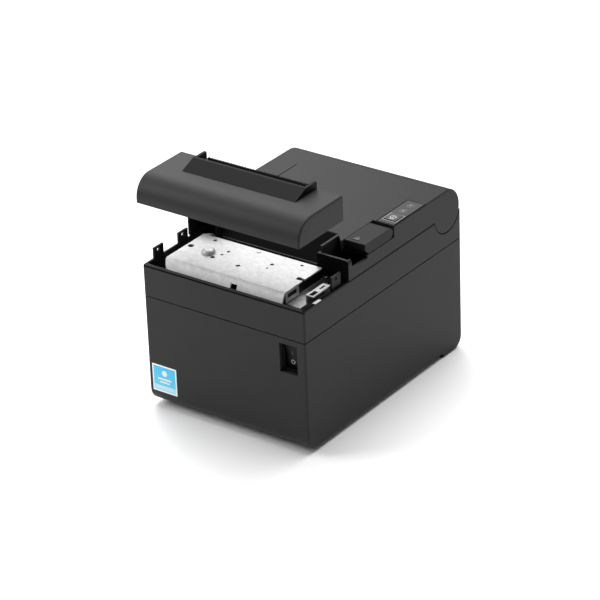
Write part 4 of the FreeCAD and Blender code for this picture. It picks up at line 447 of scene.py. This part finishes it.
def make_plating_group():
    """Plated sheet: spangle, rolling marks, smudges and softened edges."""
    inputs = [("Spangle", 420.0), ("Edge", 0.0003)]
    outputs = [("Tone", "NodeSocketFloat"), ("Dull", "NodeSocketFloat"), ("Normal", "NodeSocketVector")]
    group, given, out = new_group("plated_sheet", inputs, outputs)
    place = group.nodes.new("ShaderNodeTexCoord").outputs["Object"]
    cells = group.nodes.new("ShaderNodeTexVoronoi")
    group.links.new(place, cells.inputs["Vector"])
    group.links.new(given.outputs["Spangle"], cells.inputs["Scale"])
    tint = group.nodes.new("ShaderNodeSeparateColor")
    group.links.new(cells.outputs["Color"], tint.inputs[0])
    stretch = group.nodes.new("ShaderNodeMapping")
    stretch.inputs["Scale"].default_value = ROLLING_STRETCH
    group.links.new(place, stretch.inputs["Vector"])
    lines = noise(group, stretch.outputs[0], 1.0, 2.0)
    smudge = noise(group, place, SMUDGE_SCALE, 4.0, 0.6)
    stained = math_node(group, "MULTIPLY", smudge, SMUDGE_SHARE)
    tone = math_node(group, "MULTIPLY_ADD", tint.outputs[0], SPANGLE_SHARE, stained)
    group.links.new(tone, out.inputs["Tone"])
    smeared = math_node(group, "MULTIPLY", smudge, SMUDGE_DULL)
    dull = math_node(group, "MULTIPLY_ADD", tint.outputs[1], SPANGLE_DULL, smeared)
    group.links.new(dull, out.inputs["Dull"])
    bevel = group.nodes.new("ShaderNodeBevel")
    bevel.samples = 4
    group.links.new(given.outputs["Edge"], bevel.inputs["Radius"])
    bump = group.nodes.new("ShaderNodeBump")
    bump.inputs["Strength"].default_value = ROLLING_STRENGTH
    bump.inputs["Distance"].default_value = ROLLING_DEPTH
    group.links.new(lines, bump.inputs["Height"])
    group.links.new(bevel.outputs[0], bump.inputs["Normal"])
    group.links.new(bump.outputs[0], out.inputs["Normal"])
    return group


PLATING = make_plating_group()


def plated(name, dark, light, rough, spangle=420.0, metal=1.0):
    """Metal between two tones, with the plating's variation."""
    made, tree, shader = new_material(name)
    surface = tree.nodes.new("ShaderNodeGroup")
    surface.node_tree = PLATING
    surface.inputs["Spangle"].default_value = spangle
    tree.links.new(mixed(tree, surface.outputs["Tone"], dark, light), shader.inputs["Base Color"])
    tree.links.new(math_node(tree, "ADD", surface.outputs["Dull"], rough), shader.inputs["Roughness"])
    tree.links.new(surface.outputs["Normal"], shader.inputs["Normal"])
    shader.inputs["Metallic"].default_value = metal
    return made


BRIGHT = plated("bright_steel", 0.44, 0.66, 0.44, metal=0.7)
dress(BRIGHT, "cutter_cover_plate", "earth_clip", "mechanism_frame")
dress(plated("bracket_steel", 0.22, 0.5, 0.34), "side_bracket")
dress(plated("tray_steel", 0.03, 0.07, 0.45), "cutter_tray")
dress(plated("blade_steel", 0.45, 0.6, 0.2, 900.0), "moving_blade", "platen_shaft", "motor_shaft")
dress(plated("black_steel", 0.02, 0.05, 0.4), "fixed_blade")
dress(plated("spring_steel", 0.4, 0.55, 0.25), "head_spring", "cutter_pinion", "idler_post")
dress(plated("motor_steel", 0.35, 0.5, 0.35), "feed_motor", "cutter_motor")
dress(plated("screw_steel", 0.12, 0.3, 0.35), "case_screws", "mechanism_screws", "lever_pin", "hinge_pins")
dress(plated("heat_sink_alloy", 0.55, 0.75, 0.35), "head_heat_sink")

# Feed train and print head: acetal gears, a ground rubber platen and a glazed ceramic head.
# They sit under the paper cover, which carries the platen in two bushes.
head_low, head_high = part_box("thermal_head")
HEAD_MIDDLE = (head_low.z + head_high.z) / 2
HEATER_HALF = 0.0004
TRACE_PITCH = 0.0008
FULL_TURN = 6.2832
GILT, HEATER_BROWN = (0.42, 0.3, 0.1), (0.05, 0.025, 0.015)


def head_print(tree, shade):
    """Dark heater line along the head's middle, with fine gilt traces below it."""
    x, _, z = object_place(tree)
    waves = math_node(tree, "SINE", math_node(tree, "MULTIPLY", x, FULL_TURN / TRACE_PITCH))
    lower = math_node(tree, "LESS_THAN", z, HEAD_MIDDLE)
    traces = math_node(tree, "MULTIPLY", math_node(tree, "GREATER_THAN", waves, 0.0), lower)
    traced = mixed(tree, traces, shade, GILT)
    heater = math_node(tree, "COMPARE", z, HEAD_MIDDLE, HEATER_HALF)
    return mixed(tree, heater, traced, HEATER_BROWN)


dress(moulded("gear_acetal", (0.62, 0.6, 0.55), 0.4, depth=0.05), "motor_pinion", "idler_gear", "platen_gear")
dress(moulded("platen_rubber", 0.02, 0.75, grain=5000.0, depth=0.3), "platen_roller")
dress(moulded("head_ceramic", (0.7, 0.69, 0.64), 0.2, depth=0.02, print_over=head_print), "thermal_head")

# Board and sockets: a green board under the paper bucket, with four sockets in the rear dock.
# Two sockets have plated shells and two are black plastic.
dress(moulded("board_mask", (0.01, 0.09, 0.04), 0.3, depth=0.1), "main_board")
dress(plated("socket_steel", 0.55, 0.75, 0.25), "usb_port", "network_port")
dress(moulded("socket_plastic", 0.01, 0.45), "drawer_port", "power_inlet")

# Feet: four matt rubber discs under the case.
# They are glued onto the flat underside.
dress(moulded("foot_rubber", 0.015, 0.85, grain=1500.0, depth=0.4), "rubber_feet")

# Stage: a white floor and soft light from all round, with boxes above, behind and at the left front.
# The camera stands where the photograph was taken, with a long lens.
FLOOR_SIZE, FLOOR_DROP = 12.0, 0.0002
FLOOR_WHITE = (0.97, 0.97, 0.97, 1.0)
SKY_WHITE, SKY_STRENGTH = (1.0, 1.0, 1.0, 1.0), 0.23
LENS, SENSOR = 184.4, 36.0
bpy.ops.object.select_all(action="DESELECT")
bpy.ops.mesh.primitive_plane_add(size=FLOOR_SIZE, location=(0.0, 0.0, -FLOOR_DROP))
floor = bpy.context.object
floor.name = "floor"
floor_paint, _, floor_shader = new_material("floor_paint")
floor_shader.inputs["Base Color"].default_value = FLOOR_WHITE
floor_shader.inputs["Roughness"].default_value = 0.5
floor.data.materials.append(floor_paint)

world = bpy.data.worlds.new("studio")
bpy.context.scene.world = world
world.use_nodes = True
sky = world.node_tree.nodes["Background"]
sky.inputs["Color"].default_value = SKY_WHITE
sky.inputs["Strength"].default_value = SKY_STRENGTH


def soft_box(name, place, aim, width, height, power):
    """Add a rectangular soft light that looks at a point."""
    lamp = bpy.data.lights.new(name, "AREA")
    lamp.shape = "RECTANGLE"
    lamp.size = width
    lamp.size_y = height
    lamp.energy = power
    item = bpy.data.objects.new(name, lamp)
    bpy.context.scene.collection.objects.link(item)
    item.location = place
    item.rotation_euler = (Vector(aim) - Vector(place)).to_track_quat("-Z", "Y").to_euler()


soft_box("overhead", (-0.2, 0.6, 1.95), (0.0, 0.1, 0.0), 2.2, 2.2, 70.0)
soft_box("back_panel", (-1.1, 0.9, 0.75), (0.0, 0.0, 0.15), 1.0, 0.8, 5.6)
soft_box("front_panel", (-0.5, -0.45, 0.5), (-0.07, -0.1, 0.1), 0.4, 0.4, 3.0)

camera_data = bpy.data.cameras.new("camera")
camera_data.lens = LENS
camera_data.sensor_width = SENSOR
camera = bpy.data.objects.new("camera", camera_data)
bpy.context.scene.collection.objects.link(camera)
CAMERA_PLACE = Vector((1.2155, -1.6447, 1.1230))
CAMERA_RIGHT = Vector((0.8129, 0.5814, -0.0336))
CAMERA_BACK = Vector((0.5291, -0.7132, 0.4597)).normalized()
camera_up = CAMERA_BACK.cross(CAMERA_RIGHT).normalized()
camera_right = camera_up.cross(CAMERA_BACK)
turn = Matrix((camera_right, camera_up, CAMERA_BACK)).transposed().to_4x4()
camera.matrix_world = Matrix.Translation(CAMERA_PLACE) @ turn
bpy.context.scene.camera = camera
bpy.context.scene.view_settings.view_transform = "Standard"
